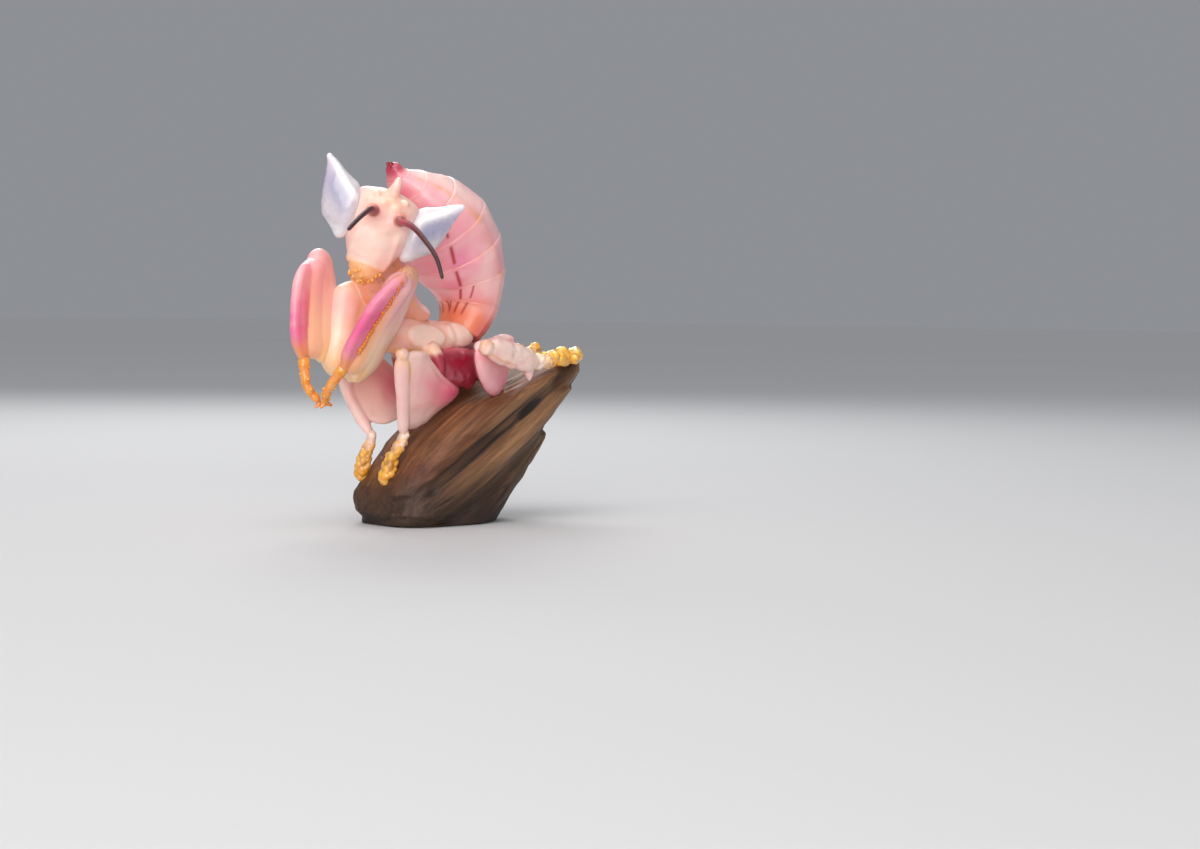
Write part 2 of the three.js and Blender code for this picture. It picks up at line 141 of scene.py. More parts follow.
def spline(points, at):
    """Centripetal Catmull-Rom curve through the points, 0 to 1 by their count."""
    P = np.asarray(points, float)
    P = np.vstack([2 * P[0] - P[1], P, 2 * P[-1] - P[-2]])
    spans = len(P) - 3
    out = np.empty((len(at), P.shape[1]))
    for i, t in enumerate(at):
        x = min(max(t, 0), 1) * spans
        k = min(int(x), spans - 1)
        w = x - k
        p0, p1, p2, p3 = P[k:k + 4]
        a, b, c = (max(float(np.sum((q - p) ** 2)) ** 0.25, 0.01) for p, q in ((p0, p1), (p1, p2), (p2, p3)))
        m1 = ((p1 - p0) / a - (p2 - p0) / (a + b) + (p2 - p1) / b) * b
        m2 = ((p2 - p1) / b - (p3 - p1) / (b + c) + (p3 - p2) / c) * b
        out[i] = p1 + m1 * w + (3 * (p2 - p1) - 2 * m1 - m2) * w * w + (2 * (p1 - p2) + m1 + m2) * w ** 3
    return out


# ---- Colours ----


def colour(red, green, blue):
    """Linear light from 0 to 255 screen values."""
    c = np.array([red, green, blue]) / 255
    return np.where(c < 0.04045, c / 12.92, ((c + 0.055) / 1.055) ** 2.4)


PINK = colour(242, 166, 176)
PALE = colour(250, 214, 206)
MAGENTA = colour(226, 104, 158)
ROSE = colour(214, 84, 104)
CREAM = colour(250, 222, 196)
PEACH = colour(248, 196, 160)
ORANGE = colour(240, 142, 52)
OCHRE = colour(222, 156, 84)
RUST = colour(206, 104, 44)
GOLD = colour(246, 178, 40)
YELLOW = colour(252, 208, 96)
BLOOD = colour(128, 22, 34)
CRIMSON = colour(176, 30, 62)
WINE = colour(152, 42, 62)
GREEN = colour(104, 128, 84)
CLOUD = colour(212, 202, 208)
BLUE = colour(160, 158, 184)
LILAC = colour(222, 206, 226)
WHITE = colour(250, 250, 252)
MAROON = colour(94, 30, 38)
TAN = colour(240, 196, 150)
MAUVE = colour(206, 130, 170)
HOT = colour(238, 110, 140)
INK = colour(34, 20, 22)
LINE = colour(180, 38, 42)
BROWN = colour(120, 66, 22)


def mix(under, over, amount):
    amount = np.asarray(amount)[..., None]
    return under * (1 - amount) + over * amount


def coats(c, *layers):
    """The colour c under layers of (colour, amount), the first one lowest."""
    for over, amount in layers:
        c = mix(c, over, amount)
    return c


# ---- Surfaces ----


NEIGHBOURS, EVENING = 5, 0.05    # points that colour a moulded one, and the distance in mm that evens them out


class Skin:
    """A grid of points p[along, around], its outward normals, and t and a, the share along and the angle."""

    def __init__(self, p, t, a, tips):
        self.p, self.tips = p, tips
        self.t, self.a = np.broadcast_arrays(t[:, None], a[None, :])
        self.n = self.normals()

    def normals(self):
        along = np.gradient(self.p, axis=0)
        around = np.roll(self.p, -1, axis=1) - np.roll(self.p, 1, axis=1)
        n = np.cross(along, around)
        n /= np.linalg.norm(n, axis=2, keepdims=True) + 1e-12
        middle = self.p.mean(axis=1, keepdims=True)
        return n if np.sum(n * (self.p - middle)) > 0 else -n

    def push(self, height):
        """Moves the surface out by that height."""
        self.p = self.p + self.n * np.asarray(height)[..., None]
        self.n = self.normals()
        return self

    def turned(self, matrix):
        m = np.array(matrix)
        self.p = self.p @ m[:3, :3].T + m[:3, 3]
        self.tips = [m[:3, :3] @ np.asarray(q) + m[:3, 3] for q in self.tips]
        self.n = self.normals()
        return self


def loft(stations, wide=Y, thin=None, n=120, m=96, ends=(0.2, 0.2), square=1):
    """A body through stations (x, y, z, half width, half thickness). wide is the way of the half width, and
    with thin every ring lies in the plane of the two. ends are the shares over which it closes, and square
    below 1 makes a fuller section."""
    S = np.asarray(stations, float)
    even = np.linspace(0, 1, n + 2)[1:-1]
    share = (even + (1 - np.cos(np.pi * even)) / 2) / 2
    path, size = spline(S[:, :3], share), spline(S[:, 3:], share)
    step = 0.002                  # on either side, to find the way of the curve
    tangent = spline(S[:, :3], np.minimum(share + step, 1)) - spline(S[:, :3], np.maximum(share - step, 0))
    tangent /= np.linalg.norm(tangent, axis=1, keepdims=True)
    w = np.asarray(wide, float) / np.linalg.norm(wide)
    if thin is None:
        across = w - tangent * (tangent @ w)[:, None]
        across /= np.linalg.norm(across, axis=1, keepdims=True)
        through = np.cross(tangent, across)
    else:
        across = np.tile(w, (n, 1))
        through = np.tile(np.asarray(thin, float) / np.linalg.norm(thin), (n, 1))
    close = np.ones(n)
    for length, u in ((ends[0], share), (ends[1], 1 - share)):
        if length > 0:
            close *= np.sqrt(1 - (1 - np.minimum(u / length, 1)) ** 2)
    a = np.arange(m) * 2 * math.pi / m
    c, s = np.cos(a), np.sin(a)
    c, s = np.sign(c) * np.abs(c) ** square, np.sign(s) * np.abs(s) ** square
    p = (path[:, None] + across[:, None] * (c[None, :] * (size[:, 0] * close)[:, None])[..., None]
         + through[:, None] * (s[None, :] * (size[:, 1] * close)[:, None])[..., None])
    return Skin(p, share, a, [S[0, :3], S[-1, :3]])


def ball(centre, radii, n=24, m=32, matrix=None):
    """An egg with those three radii."""
    u = (np.arange(n) + 0.5) / n * math.pi
    a = np.arange(m) * 2 * math.pi / m
    r = np.asarray(radii, float)
    unit = np.stack([np.sin(u)[:, None] * np.cos(a), np.sin(u)[:, None] * np.sin(a),
                     np.cos(u)[:, None] * np.ones(m)], axis=2) * r
    tips = [np.array([0, 0, r[2]]), np.array([0, 0, -r[2]])]
    skin = Skin(unit, u / math.pi, a, tips)
    if matrix is not None:
        skin.turned(matrix.to_4x4())
    skin.p = skin.p + np.asarray(centre)
    skin.tips = [q + np.asarray(centre) for q in skin.tips]
    return skin


def between(a, b, share):
    return [x + (y - x) * share for x, y in zip(a, b)]


def limb(a, b, sizes, **options):
    stations = [[*between(a, b, i / (len(sizes) - 1)), *size] for i, size in enumerate(sizes)]
    return loft(stations, **options)


def scatter(rng, skin, c, over, lit, count, rows, around, sink, sizes, n, m):
    """Lumps at random places between those rows, sunk into the skin. Their paint goes from its colours c
    towards over: lit is how far, and how much further where a lump faces up, a painted highlight."""
    made = []
    for _ in range(count):
        i, j = rng.integers(*rows), rng.integers(around)
        lump = ball(skin.p[i, j] - sink * skin.n[i, j], rng.uniform(*sizes, 3), n=n, m=m)
        # Further towards over where a lump faces up: painted highlight
        made.append((lump, mix(c[i, j], over, clamp(lit[0] + lit[1] * lump.n[..., 2]))))
    return made


def gather(painted):
    """The points, faces and colours of [(skin, colours)]."""
    verts, faces, paint, start = [], [], [], 0
    for skin, colours in painted:
        rows, around = skin.p.shape[:2]
        verts += [skin.p.reshape(-1, 3), np.array(skin.tips)]
        colours = np.broadcast_to(colours, skin.p.shape)
        paint += [colours.reshape(-1, 3), colours[0].mean(axis=0)[None], colours[-1].mean(axis=0)[None]]
        i, j = np.meshgrid(np.arange(rows - 1), np.arange(around), indexing="ij")
        k = (j + 1) % around
        quads = np.stack([i * around + j, i * around + k, (i + 1) * around + k, (i + 1) * around + j], axis=2)
        quads = quads.reshape(-1, 4)
        j = np.arange(around)
        k = (j + 1) % around
        first, last = rows * around, rows * around + 1
        top = (rows - 1) * around
        caps = [np.stack([np.full(around, first), k, j], axis=1),
                np.stack([np.full(around, last), top + j, top + k], axis=1)]
        q, flat = quads[len(quads) // 2], verts[-2]
        facing = np.cross(flat[q[1]] - flat[q[0]], flat[q[3]] - flat[q[0]])
        flip = np.dot(facing, skin.n.reshape(-1, 3)[q[0]]) < 0
        for block in (quads, *caps):
            block = block[:, ::-1] if flip else block
            faces += (block + start).tolist()
        start += rows * around + 2
    return np.vstack(verts), faces, np.vstack(paint)


def mould(painted, cell, rounds):
    """The same, run together into one skin with soft seams, as out of a mould. Features under that cell in mm
    are lost, and more rounds make softer seams."""
    verts, faces, paint = gather(painted)
    raw = bpy.data.meshes.new("raw")
    raw.from_pydata(verts.tolist(), [], faces)
    obj = add_object("raw", raw)
    remesh = obj.modifiers.new("remesh", "REMESH")
    remesh.mode, remesh.voxel_size = "VOXEL", cell
    smooth = obj.modifiers.new("smooth", "SMOOTH")
    smooth.factor, smooth.iterations = 0.5, rounds
    made = bpy.data.meshes.new_from_object(obj.evaluated_get(bpy.context.evaluated_depsgraph_get()))
    points = np.empty(len(made.vertices) * 3, np.float32)
    made.vertices.foreach_get("co", points)
    points = points.reshape(-1, 3)
    faces = [list(face.vertices) for face in made.polygons]
    tree = KDTree(len(verts))
    for i, vert in enumerate(verts):
        tree.insert(vert, i)
    tree.balance()
    colours = np.empty_like(points)
    for i, point in enumerate(points):
        found = tree.find_n(point, NEIGHBOURS)
        weights = np.array([1 / (away + EVENING) for _, _, away in found])
        colours[i] = weights @ paint[[k for _, k, _ in found]] / weights.sum()
    bpy.data.objects.remove(obj)
    bpy.data.meshes.remove(raw)
    bpy.data.meshes.remove(made)
    return points, faces, colours


def add_piece(name, material, painted, nodes, soft=None, loose=()):
    """One object from [(skin, colours)], riding on the frame and standing for the named CAD nodes. With soft
    (cell, rounds) the parts are moulded together, and the loose ones are laid on after."""
    blocks = [mould(painted, *soft) if soft else gather(painted)]
    if loose:
        blocks.append(gather(loose))
    faces, start = [], 0
    for verts, block, _ in blocks:
        faces += [[v + start for v in face] for face in block]
        start += len(verts)
    mesh = bpy.data.meshes.new(name)
    mesh.from_pydata((np.vstack([block[0] for block in blocks]) * MM).tolist(), [], faces)
    tint = mesh.color_attributes.new("paint", "FLOAT_COLOR", "POINT")
    rgba = np.hstack([clamp(np.vstack([block[2] for block in blocks])), np.ones((start, 1))])
    tint.data.foreach_set("color", rgba.astype(np.float32).ravel())
    mesh.shade_smooth()
    mesh.materials.append(material)
    obj = add_object(name, mesh)
    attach(obj, "root")
    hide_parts(*nodes)


# ---- Materials ----


class Material:
    """A new material. put() fills inputs by name, with a value or a node's output, and add() makes a node."""

    def __init__(self, name):
        self.made = bpy.data.materials.new(name)
        self.made.use_nodes = True
        self.tree = self.made.node_tree
        self.shader = self.tree.nodes["Principled BSDF"]

    def put(self, node, **inputs):
        for name, value in inputs.items():
            socket = node.inputs[name.replace("_", " ")]
            if isinstance(value, bpy.types.NodeSocket):
                self.tree.links.new(value, socket)
            else:
                socket.default_value = value
        return node

    def add(self, kind, **inputs):
        return self.put(self.tree.nodes.new("ShaderNode" + kind), **inputs)

    def paint(self):
        node = self.add("Attribute")
        node.attribute_name = "paint"
        return node.outputs["Color"]

    def place(self):
        return self.add("TexCoord").outputs["Object"]

    def spread(self, source, low, high):
        return self.add("MapRange", Value=source, To_Min=low, To_Max=high).outputs["Result"]


def plastic(name, gloss=0.4, through=0.3, depth=1.5, spread=(1, 0.5, 0.4), coat=0.3, grit=0.05, cell=0.5,
            mottle=0.12):
    """Hand-painted plastic: the paint on the mesh, a faint mottle, uneven gloss, and fine bumps of that cell in
    mm. through is how much light soaks in, and depth how far, in mm."""
    new = Material(name)
    place = new.place()

    def cloud(size, detail):
        return new.add("TexNoise", Vector=place, Scale=1 / (size * MM), Detail=detail).outputs["Fac"]

    patches = new.spread(cloud(cell * 6, 4), 1 - mottle, 1 + mottle)
    tint = new.add("HueSaturation", Color=new.paint(), Saturation=patches)
    bump = new.add("Bump", Strength=0.5, Distance=grit * MM, Height=cloud(cell, 5))
    new.put(new.shader, Base_Color=tint.outputs["Color"], Normal=bump.outputs["Normal"],
            Roughness=new.spread(cloud(cell * 3, 3), gloss - 0.1, gloss + 0.1),
            Subsurface_Weight=through, Subsurface_Radius=spread, Subsurface_Scale=depth * MM,
            Coat_Weight=coat, Coat_Roughness=0.25)
    return new.made


VINYL = plastic("vinyl")
CLEAR = plastic("eye_vinyl", gloss=0.28, through=0.35, depth=2, spread=(0.9, 0.92, 1), coat=0.6, mottle=0.05)
AMBER = plastic("amber_paint", gloss=0.28, through=0.25, depth=0.9, coat=0.7, grit=0.1, cell=0.4, mottle=0.2)
WET = plastic("wet_vinyl", gloss=0.2, through=0.1, depth=0.6, coat=0.8, grit=0.03, mottle=0.15)
DARK = plastic("dark_paint", gloss=0.35, through=0.05, depth=0.3, coat=0.3, cell=0.3)

# How the parts of a moulded skin run together: the smallest feature in mm, and rounds of smoothing
SEAMS = {
    "breast": (0.22, 10), "thorax": (0.2, 5), "head": (0.2, 5), "blade": (0.22, 18), "petal": (0.22, 8),
    "hind": (0.2, 5), "shade_mass": (0.22, 3), "foot": (0.14, 2), "hind_foot": (0.16, 2),
}

# ---- Abdomen: stations from the chest to the tip, and where its rings start ----

ABDOMEN = [
    [6, 1, 33.6, 4.8, 3.4], [8.5, 1, 39, 6.2, 5], [7.9, 1, 43.8, 7.9, 6.7], [5.4, 0.9, 48.2, 9.1, 8.4],
    [2.3, 0.8, 52.6, 9.2, 8.8], [-1.5, 0.7, 56.6, 7.8, 7], [-5.2, 0.8, 59.5, 5.5, 4.1],
    [-8, 0.9, 61.4, 2.9, 2.2], [-10, 0.9, 63.9, 0.9, 0.8],
]
RINGS = np.array([0, 0.13, 0.27, 0.4, 0.53, 0.66, 0.79, 0.9, 1])
PRONG_BASE, PRONG_LEAN, PRONG_RADII = np.array([-9.9, 0.9, 63.4]), rad(-38), [0.42, 0.32, 0.75]
FIRST_BARS = (0.05, 0.36, 0.66)              # angles of the red bars on the first ring


def add_abdomen():
    skin = loft(ABDOMEN, n=420, m=300, ends=(0, 0.12))
    t, a = skin.t, skin.a
    back = np.abs(np.angle(np.exp(1j * (a - math.pi / 2))))     # 0 along the concave back, pi along the belly
    flank = near(back, 1.75, 0.1)                               # the ridge along each flank
    k = np.clip(np.searchsorted(RINGS, t, side="right") - 1, 0, len(RINGS) - 2)
    share = (t - RINGS[k]) / (RINGS[k + 1] - RINGS[k])
    lip = share ** 3 * ramp(share, 1, 0.93)
    size = ramp(t, 1, 0.8)
    height = 0.13 * lip * size + 0.2 * flank * size * (0.4 + 0.6 * share) - 0.1 * near(share, 0, 0.02)
    height += (0.16 * rough(skin.p, 2.6, 3) * size - 0.2 * near(back, 0, 0.16) * size
               + 0.4 * near(t, 0.965, 0.03))
    skin.push(height)
    p = skin.p
    belly = ramp(back, 1.7, 2.3)
    foot = ramp(t, 0.2, 0.05)
    worn = 0.3 + 0.7 * ramp(rough(p, 2, 31), -0.1, 0.4)
    seam = near(share, 0.98, 0.04) * ramp(k, 0, 1) * size
    row = near(back, 0.63 + 1.1 * (t - 0.27), 0.04)
    dash = ramp(share, 0.1, 0.2) * ramp(share, 0.92, 0.82) * ramp(t, 0.62, 0.6)
    outer = near(back, 0.75 + 1.6 * (t - 0.13), 0.03) * ramp(t, 0.27, 0.25) * ramp(t, 0.15, 0.17)
    bars = [near(back, at + 2 * (t - 0.09), 0.05) * ramp(t, 0.13, 0.12) * ramp(t, 0.04, 0.06)
            for at in FIRST_BARS]
    c = coats(
        mix(PINK, PALE, clamp(0.35 * belly + 0.5 * ramp(rough(p, 6, 11), 0, 0.7))),
        (MAGENTA, 0.42 * ramp(rough(p, 7, 21), 0, 0.6) * (1 - 0.3 * belly)),
        (ROSE, 0.5 * ramp(t, 0.55, 0.95) * ramp(back, 1.3, 0.6)),
        (PALE, 0.5 * near(back, 2.2, 0.35) * ramp(t, 0.25, 0.6)),
        (ORANGE, 0.75 * foot * ramp(back, 2, 1.2)),
        (mix(ROSE, ORANGE, 0.3), foot * clamp(0.4 + 0.5 * ramp(back, 1.2, 2.2))),
        (OCHRE, 0.6 * flank * worn * ramp(t, 0.08, 0.3) * size),
        (mix(OCHRE, GOLD, 0.3), seam * blotch(p, 0.15, 0.5, 3, 8)),
        # A soft pale band on the swell of each ring: painted highlight
        (PALE, 0.25 * near(share, 0.75, 0.2) * size),
        (LINE, row * dash * ramp(t, 0.13, 0.16)),
        (LINE, 0.9 * outer),
        *((LINE, 0.85 * bar) for bar in bars),
        (CRIMSON, ramp(t, 0.9, 0.95) * 0.85),
        (BLOOD, 0.8 * ramp(t, 0.955, 0.975) * near(np.abs(np.cos(a)), 0.55, 0.25)))
    prongs = []
    for y in (-0.45, 0.45):
        prong = ball(PRONG_BASE + [-0.1, y, 0.1], PRONG_RADII, matrix=Euler((0, PRONG_LEAN, 0)).to_matrix())
        prongs.append((prong, mix(CRIMSON, BLOOD, ramp(prong.t, 0.6, 0.2))))
    names = [f"abdomen_{i}" for i in range(1, 8)] + ["abdomen_tip"]
    add_piece("abdomen", VINYL, [(skin, c), *prongs], names)


add_abdomen()

# ---- Where the legs go, left then right ----

# blade is the way of the blade's width, shank and drop place its coloured strip, fold is the web's half
# thickness, glow the strip's pinkest place and its width, and spines the first one's place and their count
FORE = {
    "left": dict(shoulder=[-12.4, -5.6, 43], socket=[-18.6, 1.6, 25.4], girth=1, elbow=[-18.6, -0.2, 25.4],
                 apex=[-15.9, -12.4, 45.6], wrist=[-23.8, -3.4, 27.6], blade=[-0.86, -0.5, 0],
                 shank=[3, 1.6], drop=1.6, fold=2.3, glow=(0.5, 0.3), spines=(0.16, 24)),
    "right": dict(shoulder=[-14, 6, 43], socket=[-18.4, 5.8, 26], girth=1.15, elbow=[-20.5, 6.5, 28.5],
                  apex=[-19.6, 8.7, 48.8], wrist=[-26, 5, 29], blade=[-0.88, -0.47, 0],
                  shank=[4.1, 2.6], drop=3, fold=2.1, glow=(0.6, 0.26), spines=(0.36, 16)),
}
CLAW_TIP = [-22.9, 3.2, 21.8]
MID = {
    "left": dict(knee=[-13.6, -7.2, 30.4], ankle=[-8.4, -1.4, 15.9], toe=[-11.7, 0.2, 7.2],
                 hip=[-4.4, -1.6, 32.6], root=[-1.8, -3, 25.6], bow=0),
    "right": dict(knee=[-14, 9, 31], ankle=[-10.2, 5.4, 15.6], toe=[-10.8, 8, 7.4],
                  hip=[-4.6, 3.6, 32.8], root=[-2.6, 4.8, 25.8], bow=2.6),
}
HIND = {
    "left": dict(knee=[0.4, -13.4, 31.6], ankle=[15.8, -10.2, 28.6], toe=[27, -8.4, 29.9],
                 hip=[7.6, -4, 31.5], root=[7.2, -5.4, 25.6], crest=[1.4, 1.6, 2, 2.3], sag=0),
    "right": dict(knee=[2.4, 13.8, 32.6], ankle=[19.2, 8.4, 28.8], toe=[29.4, 5.2, 30.2],
                  hip=[7, 4.4, 32.4], root=[3, 7.8, 26.4], crest=[2.4, 2.6, 2.2, 1.8], sag=0.9),
}


def fore_coxa(name):
    leg = FORE[name]
    sizes = np.array([[2.8, 2.2], [3.5, 2.7], [3.2, 2.6], [2.2, 2]]) * leg["girth"]
    coxa = limb(leg["shoulder"], leg["socket"], sizes, wide=X, n=140, m=120, square=0.85)
    t, across = coxa.t, np.cos(coxa.a)
    keel = near(across, 0.1, 0.1)
    coxa.push(0.14 * rough(coxa.p, 2, 3) - 0.16 * keel + 0.18 * near(across, 0.32, 0.12))
    return coxa, coats(
        mix(CREAM, PALE, 0.4),
        (PEACH, blotch(coxa.p, 0.35, 0.5, 3, 6)),
        (PINK, 0.5 * near(t, 0.3, 0.18)),
        (YELLOW, 0.4 * keel + 0.3 * ramp(t, 0.65, 1)),
        (ORANGE, 0.4 * ramp(t, 0.12, 0)))


def mid_coxa(name, side):
    coxa = limb(MID[name]["hip"], MID[name]["root"], [[2.5, 1.7], [3.3, 1.9], [1.9, 1.5]], n=110, m=90)
    outer = ramp(coxa.n[..., 1] * side, -0.2, 0.3)
    rim = near(np.cos(coxa.a), 0, 0.2) * outer
    coxa.push(0.12 * rough(coxa.p, 1.6, 4) + 0.2 * rim)
    c = coats(
        mix(TAN, PALE, blotch(coxa.p, 0.4, 0.5, 2, 6)),
        (OCHRE, 0.3 * rim),
        # Wine rose on the lower half: painted shade of the hollow under the chest
        (mix(WINE, ROSE, 0.3), ramp(coxa.t + 0.1 * rough(coxa.p, 2, 3), 0.35, 0.5)))
    # Wine red on the side turned inwards: painted shade between the legs
    return coxa, mix(WINE, c, outer * ramp(coxa.t, 0.02, 0.15))


# ---- Thorax ----

PRONOTUM = [
    [-2.4, 0.6, 36.9, 3, 0.9], [-6.4, 0.6, 37.8, 5.2, 2], [-11, 0.6, 40.8, 7, 3.3],
    [-12.2, 0.4, 44.6, 7.6, 3.8], [-14, -0.2, 48, 6.4, 3], [-15.2, -1.6, 51.2, 6, 3],
    [-16, -3.4, 54.2, 4.4, 2.4],
]
PRONOTUM_CRUMBS = 70
THORAX = [
    [-12.4, 0.9, 35, 3.2, 3], [-8, 0.9, 34.2, 4.3, 4.1], [-1, 0.9, 33, 4.6, 3.3],
    [4.6, 0.9, 33.4, 4.4, 2.8], [7.4, 0.9, 33.4, 3.2, 1.8],
]
# Raised plates on either flank, each with a yellow rim: x, z, half length, half height
PLATES = ((-5, 33.4, 4.3, 2.5), (3.2, 33.7, 3.3, 2.3))
NECK = [[-14.6, -2, 52.4, 3, 3], [-16.8, -6, 53.4, 3.2, 3], [-19, -9.6, 54, 3, 2.6]]


def pronotum():
    skin = loft(PRONOTUM, n=240, m=200, ends=(0.1, 0.16))
    t, a = skin.t, skin.a
    away = np.sin(a) < 0                    # the side towards the abdomen
    keel = near(np.cos(a), 0, 0.12) * away
    waist = near(t, 0.62, 0.05)
    height = -0.7 * waist + 0.25 * keel + 0.15 * rough(skin.p, 3, 4) + 0.5 * near(t, 0.74, 0.1) * away
    height += 0.35 * near(t, 0.12, 0.06)
    skin.push(height)
    p = skin.p
    return skin, coats(
        mix(PINK, MAGENTA, 0.5 * near(t, 0.8, 0.14) * away + 0.15 * ramp(rough(p, 4, 7), 0, 0.6)),
        (PALE, 0.45 * near(t, 0.66, 0.06) + 0.3 * near(t, 0.45, 0.12) * away),
        (mix(PEACH, ORANGE, 0.45), 0.8 * (1 - away) * ramp(rough(p, 3, 9), -0.9, 0.2)),
        (HOT, 0.7 * ramp(t, 0.62, 0.8) * away),
        (mix(CREAM, PALE, 0.6), 0.8 * near(t, 0.17, 0.08) * away),
        # A white band just above the green rim: painted highlight
        (WHITE, 0.4 * near(t, 0.1, 0.03) * away),
        (GREEN, 0.85 * near(t, 0.055, 0.03)),
        (ORANGE, 0.6 * ramp(t, 0.03, 0.01)))


def flanks():
    skin = loft(THORAX, n=140, m=120, ends=(0.2, 0.12))
    x, _, z = axes(skin.p)
    plates = [np.hypot((x + 0.35 * (z - 33.5) - u) / w, (z - v) / h) for u, v, w, h in PLATES]
    inside = sum(ramp(d, 1, 0.8) for d in plates)
    rim = clamp(sum(near(d, 1.02, 0.06) for d in plates)) * (0.55 + 0.45 * rough(skin.p, 2, 7))
    skin.push(0.12 * rough(skin.p, 2.5, 2) + 0.3 * inside + 0.1 * rim - 0.2 * near(skin.t, 0.62, 0.03))
    return skin, coats(
        mix(PALE, CREAM, 0.5),
        (PINK, blotch(skin.p, 0.3, 0.4, 3, 5)),
        (mix(CREAM, PALE, 0.5), 0.8 * inside),
        (mix(YELLOW, ORANGE, 0.35), 0.8 * rim),
        (mix(YELLOW, OCHRE, 0.4), 0.7 * near(z, 30.9, 0.4)),
        # Wine mauve under the thorax: painted shade of the hollow under the chest
        (mix(MAUVE, WINE, 0.45), ramp(z, 30.6, 30.1)),
        (ORANGE, 0.5 * ramp(x, -9, -12)))


def add_thorax():
    skin, c = pronotum()
    rows, around = c.shape[:2]
    crumbs = scatter(np.random.default_rng(8), skin, c, mix(ORANGE, GOLD, 0.3), (0.3, 0.4), PRONOTUM_CRUMBS,
                     (int(0.4 * rows), int(0.85 * rows)), around // 2, 0.2, (0.3, 0.5), 10, 14)
    neck = loft(NECK, wide=Z, n=60, m=72)
    tone = mix(mix(PINK, HOT, 0.4), PEACH, ramp(neck.n[..., 1] + 0.6 * neck.n[..., 0], 0, -0.7))
    breast, trunk = [(skin, c), (neck, tone)], [flanks()]
    for name, side in SIDES:
        breast.append(fore_coxa(name))
        trunk.append(mid_coxa(name, side))
    add_piece("breast_skin", VINYL, breast,
              ["pronotum", "neck", "foreleg_left_coxa", "foreleg_right_coxa"], SEAMS["breast"], crumbs)
    add_piece("thorax_skin", VINYL, trunk, ["thorax", "midleg_left_coxa", "midleg_right_coxa"],
              SEAMS["thorax"])


add_thorax()

# ---- Head: its frame has +X to the mantis's left, -Y forward and +Z up ----

HEAD = Matrix.Translation((-20.5, -10.5, 54)) @ (
    Matrix.Rotation(rad(-34.5), 4, "Z") @ Matrix.Rotation(rad(8.8), 4, "X")
    @ Matrix.Rotation(rad(20), 4, "Y"))
FACE = [
    [0, 0.9, 4.4, 4.6, 2.6], [0, 0.8, 2.4, 5.6, 4], [0, 0.5, -1.4, 5.9, 4.2], [0, 0, -5.4, 5, 3.4],
    [0, -0.5, -8.2, 3.6, 2.7], [0, -0.9, -9.8, 2.9, 2.1],
]
BROW, CHEEK = np.array([2.4, -3.4, 0.5]), np.array([2.4 * 0.9, -3.6, -2.3])
OCELLI = ((0, 3.3), (-1.1, 2.2), (1.1, 2.2))
HORN = [[0, -1, 2.6, 1.9, 1.5], [0, -1.1, 4.4, 1.2, 1], [0, -1.3, 6, 0.7, 0.65], [0, -1.4, 7.3, 0.4, 0.4]]
CROWN = ((-2.6, 3.2), (2.4, 3.4), (-1.6, 1.6), (1.5, 1.7), (0, 2.6), (-3.4, 1.9), (3.3, 2))
MOUTH = [[0, -0.9, -8.4, 3, 2.2], [0, -1.3, -10, 2.7, 2], [0, -1.5, -11.2, 1.9, 1.5], [0, -1.7, -12.2, 1, 0.9]]
MOUTH_CRUMBS = 26
EYE = [
    [3.6, 0.8, -1.8, 4.9, 3.4], [6, 0.9, -1.4, 5.1, 3.4], [8, 1, -0.2, 4.7, 3], [10, 1.1, 1.2, 4.4, 2.3],
    [11, 1.1, 2.8, 3.1, 1.5], [11.7, 1.1, 4.7, 1.4, 0.8], [12.3, 1.1, 6.1, 0.3, 0.3],
]
ANTENNA = {
    "left": [[2.4, -4.6, 0.5], [4.2, -7.8, 0.6], [6.4, -11, -0.4], [8.9, -14.8, -2.2], [10.7, -18.1, -4.8]],
    "right": [[-2.4, -4.6, 0.5], [-3.3, -8, 0.9], [-4.2, -11.4, 0.4], [-5.4, -15.6, -0.8], [-6.7, -20, -2.6]],
}
ANTENNA_RINGS = 46


def bump(p, at, radius):
    return np.exp(-np.sum((p - at) ** 2, axis=-1) / radius ** 2)


def skull():
    face = loft(FACE, wide=X, n=200, m=200, ends=(0.16, 0.1))
    p = face.p
    x, y, z = axes(p)
    out, front = np.abs(x), ramp(y, 1.5, -1.5)
    height = 0.12 * rough(p, 1.6, 5)
    for side in (-1, 1):
        height += 0.5 * bump(p, BROW * [side, 1, 1], 1.7) - 0.35 * bump(p, CHEEK * [side, 1, 1], 1)
    for across, up in OCELLI:
        height += 0.45 * bump(p, np.array([across, -3, up]), 0.75)
    height += front * (0.35 * near(z, -4.6, 2.2) * near(x, 0, 2.6) - 0.2 * near(z, -8, 0.5))
    height += 0.3 * front * near(out, 3.4, 0.5) * ramp(z, -1.5, -3.5)
    face.push(height)
    return face.turned(HEAD), coats(
        mix(CREAM, PALE, 0.6),
        (mix(PINK, PEACH, 0.4), blotch(p, 0.45, 0.4, 2.4, 2)),
        (mix(PALE, CREAM, 0.4), 0.6 * near(x, 0, 3) * ramp(z, -0.5, -3)),
        (PEACH, 0.55 * ramp(z, 0.4, 2.6) * near(x, 0, 3)),
        (mix(PEACH, ORANGE, 0.5), 0.8 * ramp(z, -7.6, -9.4)),
        (ROSE, 0.2 * front * near(out, 4.6, 0.9) * ramp(z, -1, -4)),
        (mix(PINK, HOT, blotch(p, 0.3, 0.5, 2.5, 9)), 0.8 * ramp(y, 0.5, 2.5)),
        (CLOUD, 0.6 * ramp(out, 4.2, 5.4) * ramp(z, -5, -2) * front),
        (ROSE, sum(0.35 * bump(p, BROW * [side, 1, 1], 1.5) for side in (1, -1))))


